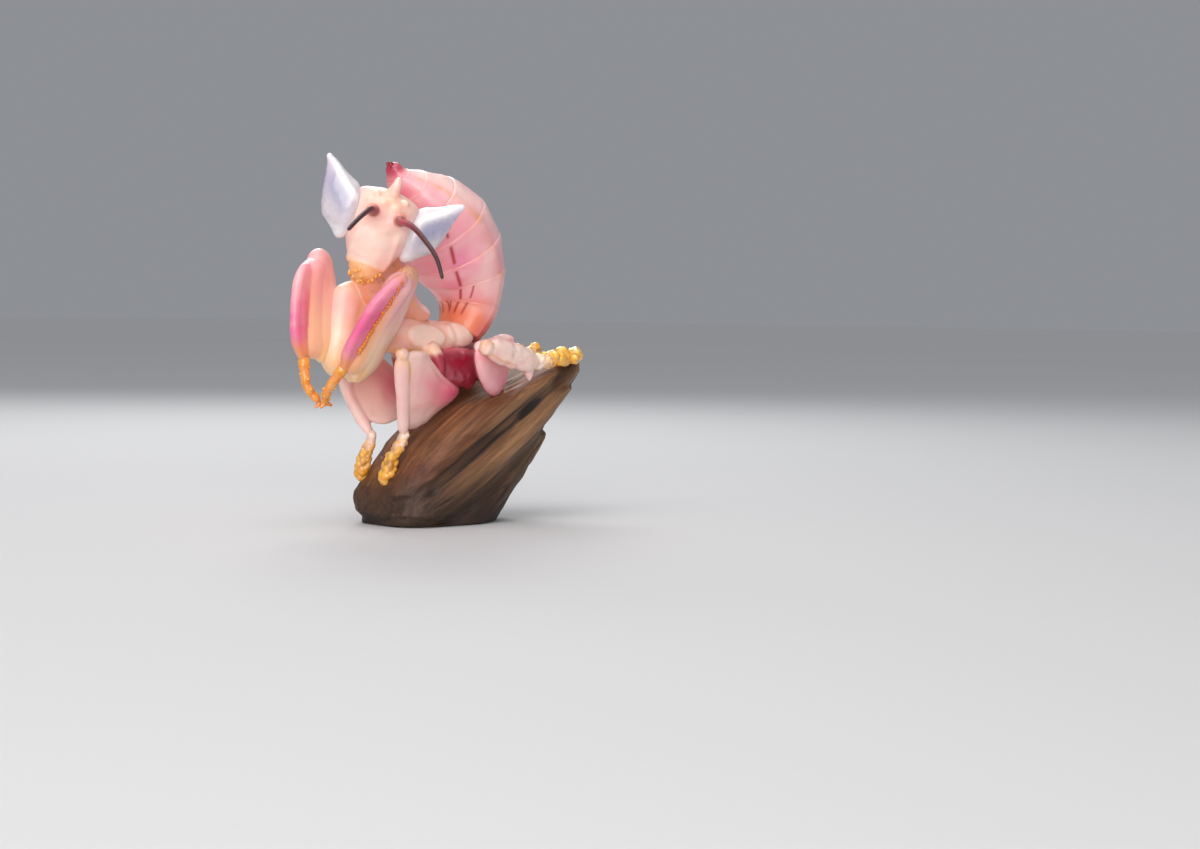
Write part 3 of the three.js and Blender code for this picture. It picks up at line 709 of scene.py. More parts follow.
def eye_skin(side):
    eye = loft([[side * x, *rest] for x, *rest in EYE], wide=Z, thin=Y, n=180, m=180,
               ends=(0.2, 0.1))
    p = eye.p
    x, y, z = axes(p)
    x = np.abs(x)
    slant = z - 0.75 * (x - 6)
    fold = near(slant, 1.6, 0.8) * ramp(x, 4.5, 6.5) * (y < 1)
    eye.push(0.35 * fold + 0.05 * rough(p, 1.5, 4))
    c = coats(
        CLOUD,
        (BLUE, clamp(0.95 * near(slant, -1, 2.2) * ramp(x, 5.5, 7.5) + 0.15 * ramp(rough(p, 2, 8), 0, 0.6))),
        # White along the fold and in a streak above it, painted highlights, and white low on the eye
        (WHITE, clamp(0.95 * fold + 0.6 * near(slant, 3.8, 0.8) + 0.6 * ramp(z, -3.5, -5.5))),
        (LILAC, 0.6 * ramp(x, 9.6, 12)),
        (mix(WHITE, PINK, 0.35), 0.75 * ramp(eye.n[..., 1], -0.1, 0.5) * ramp(x, 11, 8)),
        (PALE, 0.8 * ramp(x, 5.2, 4)))
    return eye.turned(HEAD), c


def add_head():
    painted = [skull()]
    horn = loft(HORN, wide=X, n=80, m=64, ends=(0.1, 0.2))
    horn.push(0.16 * rough(horn.p, 1, 3))
    c = mix(mix(PEACH, PINK, 0.35), PALE, 0.8 * ramp(horn.t, 0.2, 0.8))
    painted.append((horn.turned(HEAD), c))
    for x, z in CROWN:
        lump = ball((x, -2.8 + 0.2 * abs(x), z), (0.7, 0.6, 0.6), n=14, m=18)
        painted.append((lump.turned(HEAD), mix(PEACH, PALE, 0.5)))
    mouth = loft(MOUTH, wide=X, n=80, m=90, ends=(0.2, 0.4))
    mouth.push(0.16 * rough(mouth.p, 1, 6) - 0.12 * near(mouth.t, 0.4, 0.05))
    c = mix(mix(PEACH, ORANGE, 0.4), mix(ORANGE, OCHRE, 0.4), clamp(mouth.t + 0.4 * rough(mouth.p, 1, 4)))
    painted.append((mouth.turned(HEAD), c))
    c = np.broadcast_to(ORANGE, mouth.p.shape)
    crumbs = scatter(np.random.default_rng(2), mouth, c, mix(GOLD, PEACH, 0.4), (0.4, 0.4), MOUTH_CRUMBS,
                     (20, 70), 90, 0, (0.28, 0.5), 12, 16)
    add_piece("head_skin", VINYL, painted, ["head", "horn", "mouth"], SEAMS["head"], crumbs)

    for name, side in (("left", 1), ("right", -1)):
        add_piece(f"eye_{name}_skin", CLEAR, [eye_skin(side)], [f"eye_{name}"])
        points = ANTENNA[name]
        sizes = np.linspace(0.55, 0.3, len(points))
        stalk = loft([[*q, s, s] for q, s in zip(points, sizes)], wide=X, n=260, m=28,
                     ends=(0.02, 0.04))
        stalk.push(0.035 * np.sin((stalk.t * ANTENNA_RINGS) % 1 * 2 * math.pi))
        c = mix(mix(MAROON, ROSE, 0.6 * ramp(stalk.t, 0.4, 0)), INK, 0.7 * ramp(stalk.t, 0.3, 0.8))
        base = [[2.4 * side, y, 0.5, radius, radius] for y, radius in ((-3, 1.25), (-4, 1.15), (-5.2, 0.6))]
        cup = loft(base, wide=X, n=48, m=48, ends=(0.2, 0.25))
        cup.push(-0.12 * near(cup.t, 0.62, 0.06))
        tone = mix(mix(PEACH, ROSE, 0.55), MAROON, 0.7 * ramp(cup.t, 0.5, 0.9))
        add_piece(f"antenna_{name}_skin", DARK, [(stalk.turned(HEAD), c), (cup.turned(HEAD), tone)],
                  [f"antenna_{name}"])


add_head()

# ---- Legs ----

LAST_SPINE = 0.83                # along the tibia from the apex
APEX_CRUMBS, CLAW_KNOBS = 36, 9
HOOKS = ((1.7, -0.6), (-0.9, -1))
BEADS_FROM = 0.22                # along a foot
MID_BEADS, MID_BEAD_RADIUS = 62, 0.62
HIND_BLOCKS = (1.7, 1.4, 1.85, 1.4, 1.9, 1.4, 1.7)


def aside(point, way, reach):
    return [v + w * reach for v, w in zip(point, way)]


def beads(path, sizes, size, count, seed, tints):
    """A foot: a knobbly core along the path under a crust of small beads. tints are its colours at the ankle
    and the toe."""
    rng = np.random.default_rng(seed)
    core = loft([[*point, *radii] for point, radii in zip(path, sizes)], n=120, m=72,
                ends=(0.1, 0.14))
    core.push(0.3 * rough(core.p, 1.3, seed) - 0.15)
    # The core shows in the gaps between the beads: its brown is painted shade
    hollow = mix(mix(*tints, ramp(core.t, 0.1, 0.5)), BROWN, 0.45 * ramp(core.t, 0.15, 0.5))
    made = [(core, hollow)]
    for i in range(count):
        u = BEADS_FROM + (0.98 - BEADS_FROM) * (i + rng.uniform(-0.3, 0.3)) / count
        where = int(clamp(u) * (len(core.p) - 1))
        turn = rng.integers(core.p.shape[1])
        radius = size * rng.uniform(0.7, 1.2) * (0.75 + 0.4 * u)
        bead = ball(core.p[where, turn] - core.n[where, turn] * radius * 0.35, np.full(3, radius), n=14, m=18)
        tone = coats(
            tints[0],
            (tints[1], ramp(u + rng.uniform(-0.1, 0.1), 0.05, 0.4)),
            # Yellow where a bead faces up, a painted highlight, and ochre where it faces down, painted shade
            (YELLOW, clamp(0.75 * bead.n[..., 2])),
            (OCHRE, 0.5 * ramp(-bead.n[..., 2], 0.2, 0.9)))
        made.append((bead, tone))
    return made


def add_foreleg(name, side):
    leg = FORE[name]
    left = side < 0
    elbow, apex, wrist, blade, shank = (leg[k] for k in ("elbow", "apex", "wrist", "blade", "shank"))
    femur = limb(elbow, apex, [[2.6, 1.8], [4.2, 2.3], [4.4, 2.3], [3.9, 2.1], [2.6, 1.7]], wide=blade,
                 n=220, m=180, ends=(0.2, 0.12), square=0.8)
    t, p = femur.t, femur.p
    front = np.cos(femur.a)                             # 1 at the edge that meets the tibia
    rear = ramp(-front, 0.75, 0.98)
    femur.push(0.12 * rough(p, 2.4, 5) + 0.2 * rear * rough(p, 1.1, 9))
    outer = ramp(femur.n[..., 1] * side, -0.3, 0.3)
    c = coats(
        mix(CREAM, PEACH, 0.4),
        (mix(PINK, PALE, 0.3), clamp(0.1 + 0.9 * ramp(t, 0.3, 0.85))),
        (PALE, 0.6 * near(front, -0.2, 0.3) * ramp(t, 0.35, 0.6)),
        (TAN, 0.4 * ramp(t, 0.5, 0.05) * ramp(-front, -0.5, 0.7)),
        (mix(PINK, HOT, 0.15), 0 if left else 0.55 * outer * ramp(t, 0.1, 0.7)),
        (YELLOW, 0.35 * ramp(t, 0.35, 0) * ramp(front, -0.5, 0.6)),
        (PALE, 0.5 * rear),
        (ORANGE, 0.4 * near(front, 0.74, 0.12) * ramp(t, 0.98, 0.85) * outer),
        (mix(PEACH, mix(ORANGE, ROSE, 0.4), 0.45), (0.9 if left else 0.1) * ramp(t, 0.78, 0.93)))

    path = [
        [*aside(apex, blade, shank[0])[:2], apex[2] - leg["drop"], 1.7, 1],
        [*aside(between(apex, wrist, 0.36), blade, shank[0]), 3.2, 1.25],
        [*aside(between(apex, wrist, 0.7), blade, shank[1]), 3.4, 1.25],
        [*wrist, 1.3, 1.1],
    ]
    tibia = loft(path, wide=blade, n=220, m=140, ends=(0.12, 0.2), square=0.8)
    # The web of skin that closes the folded leg into one flat blade
    inner = []
    for (*point, _, _), u in zip(path, (0.94, 0.64, 0.32, 0.05)):
        heart = between(elbow, apex, u)
        inner.append([*between(heart, point, 0.5), math.dist(heart, point) / 2 + 0.4, leg["fold"]])
    web = loft(inner, wide=blade, n=160, m=120, ends=(0.12, 0.2))
    t, p = tibia.t, tibia.p
    front = np.cos(tibia.a)
    outer = ramp(tibia.n[..., 1] * side, -0.2, 0.2)
    tibia.push(0.1 * rough(p, 2, 5) - 0.14 * near(front, 0.55, 0.1) + 0.12 * near(front, 0, 0.3))
    tone = coats(
        PINK,
        (mix(MAGENTA, HOT, 0.35), clamp(0.2 + 0.85 * near(t, *leg["glow"]))),
        (PALE, 0.4 * ramp(front, 0.3, 0.9) * near(t, 0.32, 0.2) * (side > 0)
         + 0.15 * ramp(rough(p, 3, 7), 0.1, 0.6)),
        (mix(ORANGE, PEACH, 0.35), 0.7 * ramp(-front, 0.35, 0.75) + 0.5 * ramp(t, 0.12, 0) * left),
        (mix(ORANGE, PEACH, 0.5), (1 - outer) * (0.6 if left else 0.2) * ramp(-front, -0.75, 0)),
        (mix(ORANGE, PEACH, 0.25), 0.9 * ramp(t, 0.74, 0.93)))
    fill = coats(
        mix(CREAM, PEACH, 0.5),
        (mix(PINK, PALE, 0.3), ramp(web.t, 0.7, 0.3)),
        (mix(ORANGE, PEACH, 0.4),
         (0.7 if left else 0.4) * ramp(np.cos(web.a), 0.2, 0.7) * ramp(web.t, 0.1, 0.3)))

    spines = []
    rng = np.random.default_rng(4 + side)
    sheet = np.vstack([skin.p.reshape(-1, 3) for skin in (femur, tibia, web)])
    first, count = leg["spines"]
    for u in np.linspace(first, LAST_SPINE, count):
        seat = np.array(aside(between(apex, wrist, u), blade, shank[0] - 2.4 * u + 0.2))
        seat[0] += rng.uniform(-0.25, 0.25)
        close = sheet[np.hypot(sheet[:, 0] - seat[0], sheet[:, 2] - seat[2]) < 0.4]
        if not len(close):
            continue
        seat[1] = side * np.max(close[:, 1] * side)
        radius = rng.uniform(0.24, 0.36) + 0.14 * ramp(u, 0.5, 0.8)
        spine = ball(seat, (radius, radius * 0.7, radius), n=12, m=16)
        # Lighter further along, and where a spine faces up as a painted highlight
        lit = clamp(0.2 + 0.5 * u + 0.4 * spine.n[..., 2])
        spines.append((spine, mix(RUST, mix(ORANGE, GOLD, 0.3), lit)))
    if left:
        spines += scatter(rng, femur, c, mix(ORANGE, ROSE, 0.25), (0.35, 0), APEX_CRUMBS, (190, 215), 180, 0.22,
                          (0.25, 0.4), 10, 14)
    add_piece(f"foreleg_{name}_blade_skin", VINYL, [(femur, c), (web, fill), (tibia, tone)],
              [f"foreleg_{name}_femur", f"foreleg_{name}_tibia"], SEAMS["blade"], spines)

    claw = [CLAW_TIP[0], CLAW_TIP[1] + side * 0.75, CLAW_TIP[2]]
    bend = [v - w for v, w in zip(between(wrist, claw, 0.55), (1, 0, 0.4))]
    tarsus = loft([[*between(wrist, apex, 0.06), 1.1, 1], [*bend, 0.75, 0.7], [*claw, 0.65, 0.6]],
                  wide=X, n=160, m=60, ends=(0.1, 0.14))
    joint = (tarsus.t * 4.2) % 1
    tarsus.push(0.14 * np.sin(joint * math.pi) - 0.07 + 0.12 * rough(tarsus.p, 0.9, 3))
    c = mix(mix(ORANGE, OCHRE, 0.35), YELLOW, 0.25 * near(joint, 0.5, 0.2))
    c = mix(c, BROWN, 0.2 * ramp(rough(tarsus.p, 0.9, 8), 0, 0.7))
    made = [(tarsus, c)]
    for i in range(CLAW_KNOBS):
        knob = ball(tarsus.p[40 + 13 * i, rng.integers(60)], rng.uniform(0.2, 0.32, 3), n=12, m=16)
        # Yellow where a knob faces up: painted highlight
        made.append((knob, mix(ORANGE, YELLOW, clamp(0.3 + 0.5 * knob.n[..., 2]))))
    for reach, lift in HOOKS:
        tip = [claw[0] + reach, claw[1] + 0.2, claw[2] + lift]
        hook = limb(claw, tip, [[0.45, 0.45], [0.36, 0.36], [0.2, 0.2]], n=40, m=24)
        made.append((hook, mix(ORANGE, OCHRE, 0.3)))
    add_piece(f"foreleg_{name}_tarsus_skin", AMBER, made, [f"foreleg_{name}_tarsus"])


# Down the middle leg's petal: drop from the knee, front edge, rear edge, half thickness
PETAL = [
    [-0.6, 1, 5, 0.8], [1.6, 0.5, 8.4, 1.1], [4.2, 0.6, 12.4, 1.3], [6.4, 1, 16.6, 1.5],
    [8.6, 1.6, 16, 1.5], [11, 2.6, 12.6, 1.2], [13.6, 4.2, 9.4, 1],
]


def add_midleg(name, side):
    leg = MID[name]
    knee, ankle, toe, bow = (leg[k] for k in ("knee", "ankle", "toe", "bow"))
    height = knee[2] - ankle[2]
    lean = (ankle[1] - knee[1]) / height

    def outward(drop):
        return side * bow * math.sin(math.pi * clamp(drop / height))

    stations = []
    for drop, front, rear, thick in PETAL:
        middle = (front + rear) / 2
        y = knee[1] + lean * drop - side * (0.4 + 0.16 * (middle - 4)) + outward(drop)
        stations.append([knee[0] + middle, y, knee[2] - drop, (rear - front) / 2, thick])
    petal = loft(stations, wide=(1, -side * 0.16, 0), thin=Y, n=240, m=200, ends=(0.08, 0.1),
                 square=0.9)
    t, p = petal.t, petal.p
    across = np.cos(petal.a)                         # -1 at the front edge, 1 at the rear edge
    outer = ramp(petal.n[..., 1] * side, -0.1, 0.1)
    bulge = near(t, 0.52, 0.14) * ramp(across, 0.1, 0.8)
    petal.push(0.5 * bulge + 0.14 * rough(p, 2.5, 4) - 0.22 * near(across, 0.62, 0.07) * near(t, 0.3, 0.2)
               - 0.35 * near(across, 0.3, 0.3) * near(t, 0.5, 0.2) * (1 - outer) + 0.25 * near(t, 0.06, 0.05))
    c = coats(
        mix(PALE, CREAM, 0.3),
        (mix(PINK, PEACH, 0.4), blotch(p, 0.45, 0.4, 4, 3)),
        (HOT, clamp(near(t, 0.54, 0.22) * ramp(across, -0.5, 0.6))),
        (HOT, 0.35 * outer * near(t, 0.42, 0.2) * near(across, -0.1, 0.5)),
        (PALE, clamp(0.85 * ramp(t, 0.68, 0.95) + 0.6 * near(across, 0.78, 0.14) * ramp(t, 0.42, 0.25))),
        # Pale along the front edge, a painted rim light, and pale near the knee
        (PALE, 0.6 * ramp(-across, 0.8, 1) + 0.4 * ramp(t, 0.2, 0.02)),
        (HOT, 0.25 * (1 - outer) * near(t, 0.42, 0.28) * near(across, 0, 0.6)))
    lobe = [(petal, c)]

    line = [[*between(knee, ankle, k / 4), *radii] for k, radii in enumerate(
        ([1.7, 1.3], [1.6, 1.25], [1.35, 1.1], [1.2, 1], [1.3, 1.1]))]
    shin = loft([[x, y + outward(knee[2] - z), z, *radii] for x, y, z, *radii in line], wide=X,
                n=180, m=80)
    across = np.cos(shin.a)
    shin.push(0.1 * rough(shin.p, 1.6, 4) - 0.12 * near(across, 0.75, 0.2))
    c = coats(
        mix(PALE, CREAM, 0.2),
        (PINK, blotch(shin.p, 0.3, 0.3, 2.4, 3)),
        (mix(GOLD, OCHRE, 0.4), 0.7 * near(across, 0.55, 0.35) * ramp(shin.t, 0.45, 0.15)),
        (mix(CREAM, GOLD, 0.4), 0.6 * near(shin.t, 0.07, 0.06)),
        (PALE, 0.6 * ramp(shin.t, 0.6, 0.85)))
    cap = ball(knee, (1.35, 1.15, 1.2))
    cap.push(0.18 * rough(cap.p, 1, 2))
    lobe += [(shin, c), (cap, mix(PALE, mix(GOLD, OCHRE, 0.5), blotch(cap.p, 0.3, 0.8, 1.2, 3)))]
    add_piece(f"midleg_{name}_lobe_skin", VINYL, lobe,
              [f"midleg_{name}_femur", f"midleg_{name}_tibia"], SEAMS["petal"])

    middle = between(ankle, toe, 0.5)
    path = [between(ankle, toe, -0.14), between(ankle, toe, 0.22), [middle[0] - 0.6, middle[1], middle[2]],
            between(ankle, toe, 0.75), toe]
    wide = [[1.1, 1], [1.1, 1], [1.3, 1.25], [1.4, 1.25], [0.9, 0.9]]
    tints = (mix(PALE, CREAM, 0.5), mix(GOLD, OCHRE, 0.45))
    made = beads(path, wide, MID_BEAD_RADIUS, MID_BEADS, 7 + side, tints)
    add_piece(f"midleg_{name}_tarsus_skin", AMBER, made, [f"midleg_{name}_tarsus"], SEAMS["foot"])


def add_hindleg(name, side):
    leg = HIND[name]
    knee, ankle, toe, hip, root, crest, sag = (
        leg[k] for k in ("knee", "ankle", "toe", "hip", "root", "crest", "sag"))
    # Back from the knee, in from it, lower edge, upper edge, half thickness
    lobe = [
        [-1, 1.8, -2, 0.8, 0.9],
        [2, 3.4, -6.2, crest[0], 1.3],
        [5.4, 5.4, -8.2 - sag, crest[1], 1.6],
        [8.2, 7, -8.6 - sag, crest[2], 1.6],
        [10.4, 8, -7.2, crest[3], 1.5],
        [11.9, 8.2, -2.6, crest[3], 1.2],
        [13.2, 8, 0.2, 1.8, 0.8],
    ]
    stations = [[knee[0] + back, knee[1] - side * inward, knee[2] + (low + high) / 2, (high - low) / 2, thick]
                for back, inward, low, high, thick in lobe]
    femur = loft(stations, wide=Z, thin=(side * 0.4, 1, 0), n=240, m=200, ends=(0.08, 0.1),
                 square=0.85)
    t, p = femur.t, femur.p
    up = np.cos(femur.a)
    outer = ramp(femur.n[..., 1] * side, -0.1, 0.1)
    bulge = ramp(-up, 0.1, 0.8) * near(t, 0.5, 0.22)
    femur.push(0.14 * rough(p, 2.5, 4) - 0.3 * near(up, 0.3, 0.09) + 0.3 * bulge
               + 0.2 * near(up, 0.75, 0.12) * ramp(t, 0.3, 0.6))
    c = coats(
        PINK,
        (PALE, blotch(p, 0.35, 0.4, 3, 3)),
        (mix(MAGENTA, HOT, 0.6),
         clamp((0.6 if side < 0 else 0.85) * ramp(-up, -0.2, 0.9) * near(t, 0.62, 0.32))),
        (PALE, 0.65 * ramp(up, 0.45, 0.8)),
        (mix(ORANGE, OCHRE, 0.5), 0.6 * near(up, 0.22, 0.08) * ramp(t, 0.5, 0.35) * outer),
        # Wine red on the inner face, lower down: painted shade under the chest
        (WINE, 0.85 * (1 - outer) * ramp(p[..., 2], 32.5, 30.5)),
        (BLOOD, 0 if side < 0 else 0.55 * ramp(-up, 0.3, 0.9) * ramp(t, 0.5, 0.75)))
    limbs = [(femur, c)]

    shin = limb(knee, ankle, [[1.4, 1.1], [2.2, 1.3], [2.3, 1.3], [2.2, 1.2], [1.5, 1.1]], wide=Z,
                n=200, m=120)
    t, up = shin.t, np.cos(shin.a)
    folds = near(up, 0.35, 0.12) + 0.7 * near(up, -0.25, 0.12)
    shin.push(0.3 * rough(shin.p, 1.5, 4) + 0.2 * folds)
    c = coats(
        mix(PALE, CREAM, 0.3),
        (PINK, blotch(shin.p, 0.15, 0.5, 2.5, 3)),
        # Cream white in patches along the upper side: painted highlight
        (mix(CREAM, WHITE, 0.3), 0.6 * near(up, 0.45, 0.45) * ramp(rough(shin.p, 3, 9), -0.6, 0.2)),
        (mix(ORANGE, OCHRE, 0.4), 0.6 * near(up, -0.75, 0.12) * ramp(t, 0.6, 0.35)),
        (CREAM, 0.7 * ramp(t, 0.85, 1)))
    spur = loft([[*between(knee, ankle, 0.8), 1.9, 0.9],
                 [ankle[0] - 1.8, ankle[1] - side * 0.4, ankle[2] - 3.2, 0.4, 0.35]],
                wide=X, n=60, m=48, ends=(0.1, 0.3))
    cap = ball(knee, (1.5, 1.2, 1.5))
    cap.push(0.18 * rough(cap.p, 1, 2))
    mark = OCHRE if side < 0 else mix(YELLOW, GREEN, 0.3)
    limbs += [(shin, c), (spur, mix(PALE, PINK, 0.3)), (cap, mix(PALE, mark, blotch(cap.p, 0.4, 0.7, 1.2, 3)))]
    add_piece(f"hindleg_{name}_lobe_skin", VINYL, limbs,
              [f"hindleg_{name}_femur", f"hindleg_{name}_tibia"], SEAMS["hind"])

    coxa = limb(hip, root, [[2.6, 2.4], [3.5, 3], [3.3, 2.8]], n=110, m=90)
    # A mass fills the hollow under the chest; it and the coxa are painted as the hollow's shade, rose pink
    # above and wine red lower down
    shade_mass = loft([[-3.4, side * 1.8, 29.2, 2, 2], [1.4, side * 2.8, 28, 2.6, 3.6],
                  [7, side * 3.2, 27.6, 2.6, 3.6]], n=110, m=90)
    hollow = []
    for skin in (coxa, shade_mass):
        skin.push(0.35 * rough(skin.p, 1.6, 4))
        hollow.append((skin, mix(mix(ROSE, PINK, 0.3), WINE, ramp(skin.p[..., 2], 32, 30))))
    add_piece(f"hindleg_{name}_coxa_skin", WET, hollow, [f"hindleg_{name}_coxa"],
              SEAMS["shade_mass"])

    made = []
    rng = np.random.default_rng(11 + side)
    for i, size in enumerate(HIND_BLOCKS):
        u, sway = 0.05 + 0.155 * i, (-1) ** i
        centre = np.array(between(ankle, toe, u))
        centre += [0, 0.35 * sway, 0.35 * math.sin(math.pi * u) + 0.15 * sway]
        lean = Euler((rng.uniform(-0.6, 0.6), rng.uniform(-0.7, 0.7), 0)).to_matrix()
        block = ball(centre, [size * rng.uniform(0.7, 0.9), size * 0.8, size], n=40, m=56, matrix=lean)
        block.push(0.5 * rough(block.p, 1.1, i + 3))
        tone = coats(
            mix(CREAM, PALE, 0.4),
            (mix(GOLD, OCHRE, 0.25), blotch(block.p, i * 0.5, 0.2, 1, i)),
            # Yellow where a block faces up: painted highlight
            (YELLOW, 0.5 * ramp(block.n[..., 2], 0.2, 0.9)))
        made.append((block, mix(tone, BROWN, 0.5 * ramp(-rough(block.p, 0.9, i + 3), 0.1, 0.6) * (i > 0))))
        for _ in range(4):
            way = rng.normal(size=3)
            spot = centre + way / np.linalg.norm(way) * size * 0.75
            bead = ball(spot, np.full(3, size * rng.uniform(0.25, 0.45)), n=14, m=18)
            # Yellow where a bead faces up: painted highlight
            made.append((bead, mix(tone[0, 0], YELLOW, clamp(0.3 + 0.6 * bead.n[..., 2]))))
    add_piece(f"hindleg_{name}_tarsus_skin", AMBER, made, [f"hindleg_{name}_tarsus"],
              SEAMS["hind_foot"])


for name, side in SIDES:
    add_foreleg(name, side)
    add_midleg(name, side)
    add_hindleg(name, side)

# ---- Base ----

# Height, then the front, rear, left and right edges there
BASE_LEVELS = [
    [0, -12, 13.2, -8.2, 9.2], [2, -13.2, 14.6, -9, 10.2], [5.6, -13, 17.2, -9.4, 10.2],
    [8.2, -11.2, 19.3, -9.5, 10], [11.2, -8.8, 21.8, -9.6, 9.8], [14, -6.6, 24.3, -9.6, 9.6],
    [15.2, -5.2, 25, -9.6, 9.5], [16.2, -4, 24.4, -9.7, 9.3], [18.6, -0.6, 26, -9.7, 9],
    [21, 3.2, 27.6, -9.7, 8.6], [23, 8.2, 28.8, -9.6, 8], [23.8, 10.6, 29.2, -9.6, 7.8],
    [24.6, 13, 28.7, -9.5, 7.6], [27, 19.2, 31, -8.8, 6.2], [28.6, 23.2, 31.4, -7.8, 4.2],
    [30, 26.8, 30.8, -6.6, 1.2], [31, 28.4, 30, -5.4, -1.4],
]
BASE_ROWS, BASE_AROUND = 340, 460
# Each corner's power, by the signs of x and y: lower is squarer
CORNERS = {(1, 1): 0.66, (-1, 1): 0.45, (-1, -1): 0.6, (1, -1): 1}
SLOPE = rad(32)                  # of the grain
MIDDLE = 4                       # ribs and cracks fade out this near the middle plane
FAN = (54, 47)                   # x and z of the point that the lines on the rear edge spread from
# Ribs and grooves along the wood on either side: distance across the grain, half width, height
GRAIN = {
    -1: [[14, 2, 0.4], [10, 2.2, -0.8], [6.3, 2, 0.5], [2.4, 2.2, -0.6], [-1.6, 2.2, 0.4]],
    1: [[10.4, 2, 0.4], [7.2, 2, -0.7], [4.2, 2, 0.5], [0.4, 2.4, -0.4]],
}
# Dark cracks and knots on either side: place along and across the grain, half length, half width, depth
CRACKS = {
    -1: [[16, 10.8, 11, 0.26, 0.7], [12, 9.2, 13, 0.28, 0.75], [23.6, 9.5, 3.6, 0.8, 1],
         [6, 3.4, 8, 0.18, 0.5], [20, 4.4, 7, 0.16, 0.5], [-3.2, 9, 1.2, 0.9, 0.8], [2.2, 1.6, 1.5, 0.8, 0.8],
         [9, -2.4, 6, 0.16, 0.5], [-2, 6.6, 3, 0.25, 0.6], [24, 0.8, 6, 0.18, 0.6]],
    1: [[13, 9.2, 13, 0.22, 0.6], [12, 7.3, 12, 0.24, 0.75], [16.2, 7.1, 1.7, 0.5, 1],
        [13, 5.3, 13, 0.22, 0.6], [22, 1.6, 1.6, 0.5, 0.9], [15, 1.5, 0.8, 0.55, 0.8], [9.6, -2, 0.9, 0.6, 0.8],
        [-3, 3.4, 3, 0.5, 0.5], [24, 3.4, 8, 0.16, 0.4]],
}
BARK = colour(96, 64, 38)
PALE_WOOD = colour(152, 114, 80)
TAN_WOOD = colour(142, 94, 58)
RED_WOOD = colour(102, 54, 34)
OLIVE = colour(84, 62, 24)
GREY_WOOD = colour(96, 80, 68)
DARK_WOOD = colour(46, 28, 12)
CREVICE = colour(34, 26, 25)


def wood():
    """Driftwood: fibres run along the grain, paler on their raised tops and darker between."""
    new = Material("driftwood")
    place = new.place()

    def fibres(length, width, detail):
        """Streaks of that length and width in mm."""
        lay = new.add("Mapping")
        lay.vector_type = "TEXTURE"
        new.put(lay, Vector=place, Rotation=(0, -SLOPE, 0), Scale=(length * MM, width * MM, width * MM))
        return new.add("TexNoise", Vector=lay.outputs["Vector"], Scale=1, Detail=detail,
                       Distortion=0.3).outputs["Fac"]

    def shade(under, streak, dark, light):
        tone = new.add("ValToRGB", Fac=streak)
        for element, share, grey in zip(tone.color_ramp.elements, (0.34, 0.66), (dark, light)):
            element.position, element.color = share, (*grey, 1)
        blend = new.add("Mix")
        blend.data_type, blend.blend_type = "RGBA", "MULTIPLY"
        new.put(blend, Factor=1, A=under, B=tone.outputs["Color"])
        return blend.outputs["Result"]

    fine, broad = fibres(9, 0.32, 6), fibres(16, 1.2, 4)
    base = shade(new.paint(), fine, (0.72, 0.68, 0.64), (1.18, 1.17, 1.15))
    base = shade(base, broad, (0.76, 0.71, 0.66), (1.16, 1.14, 1.12))
    bumps = new.add("Bump", Strength=0.7, Distance=0.14 * MM, Height=fine)
    new.put(new.shader, Base_Color=base, Roughness=new.spread(broad, 0.75, 0.45),
            Normal=bumps.outputs["Normal"])
    return new.made


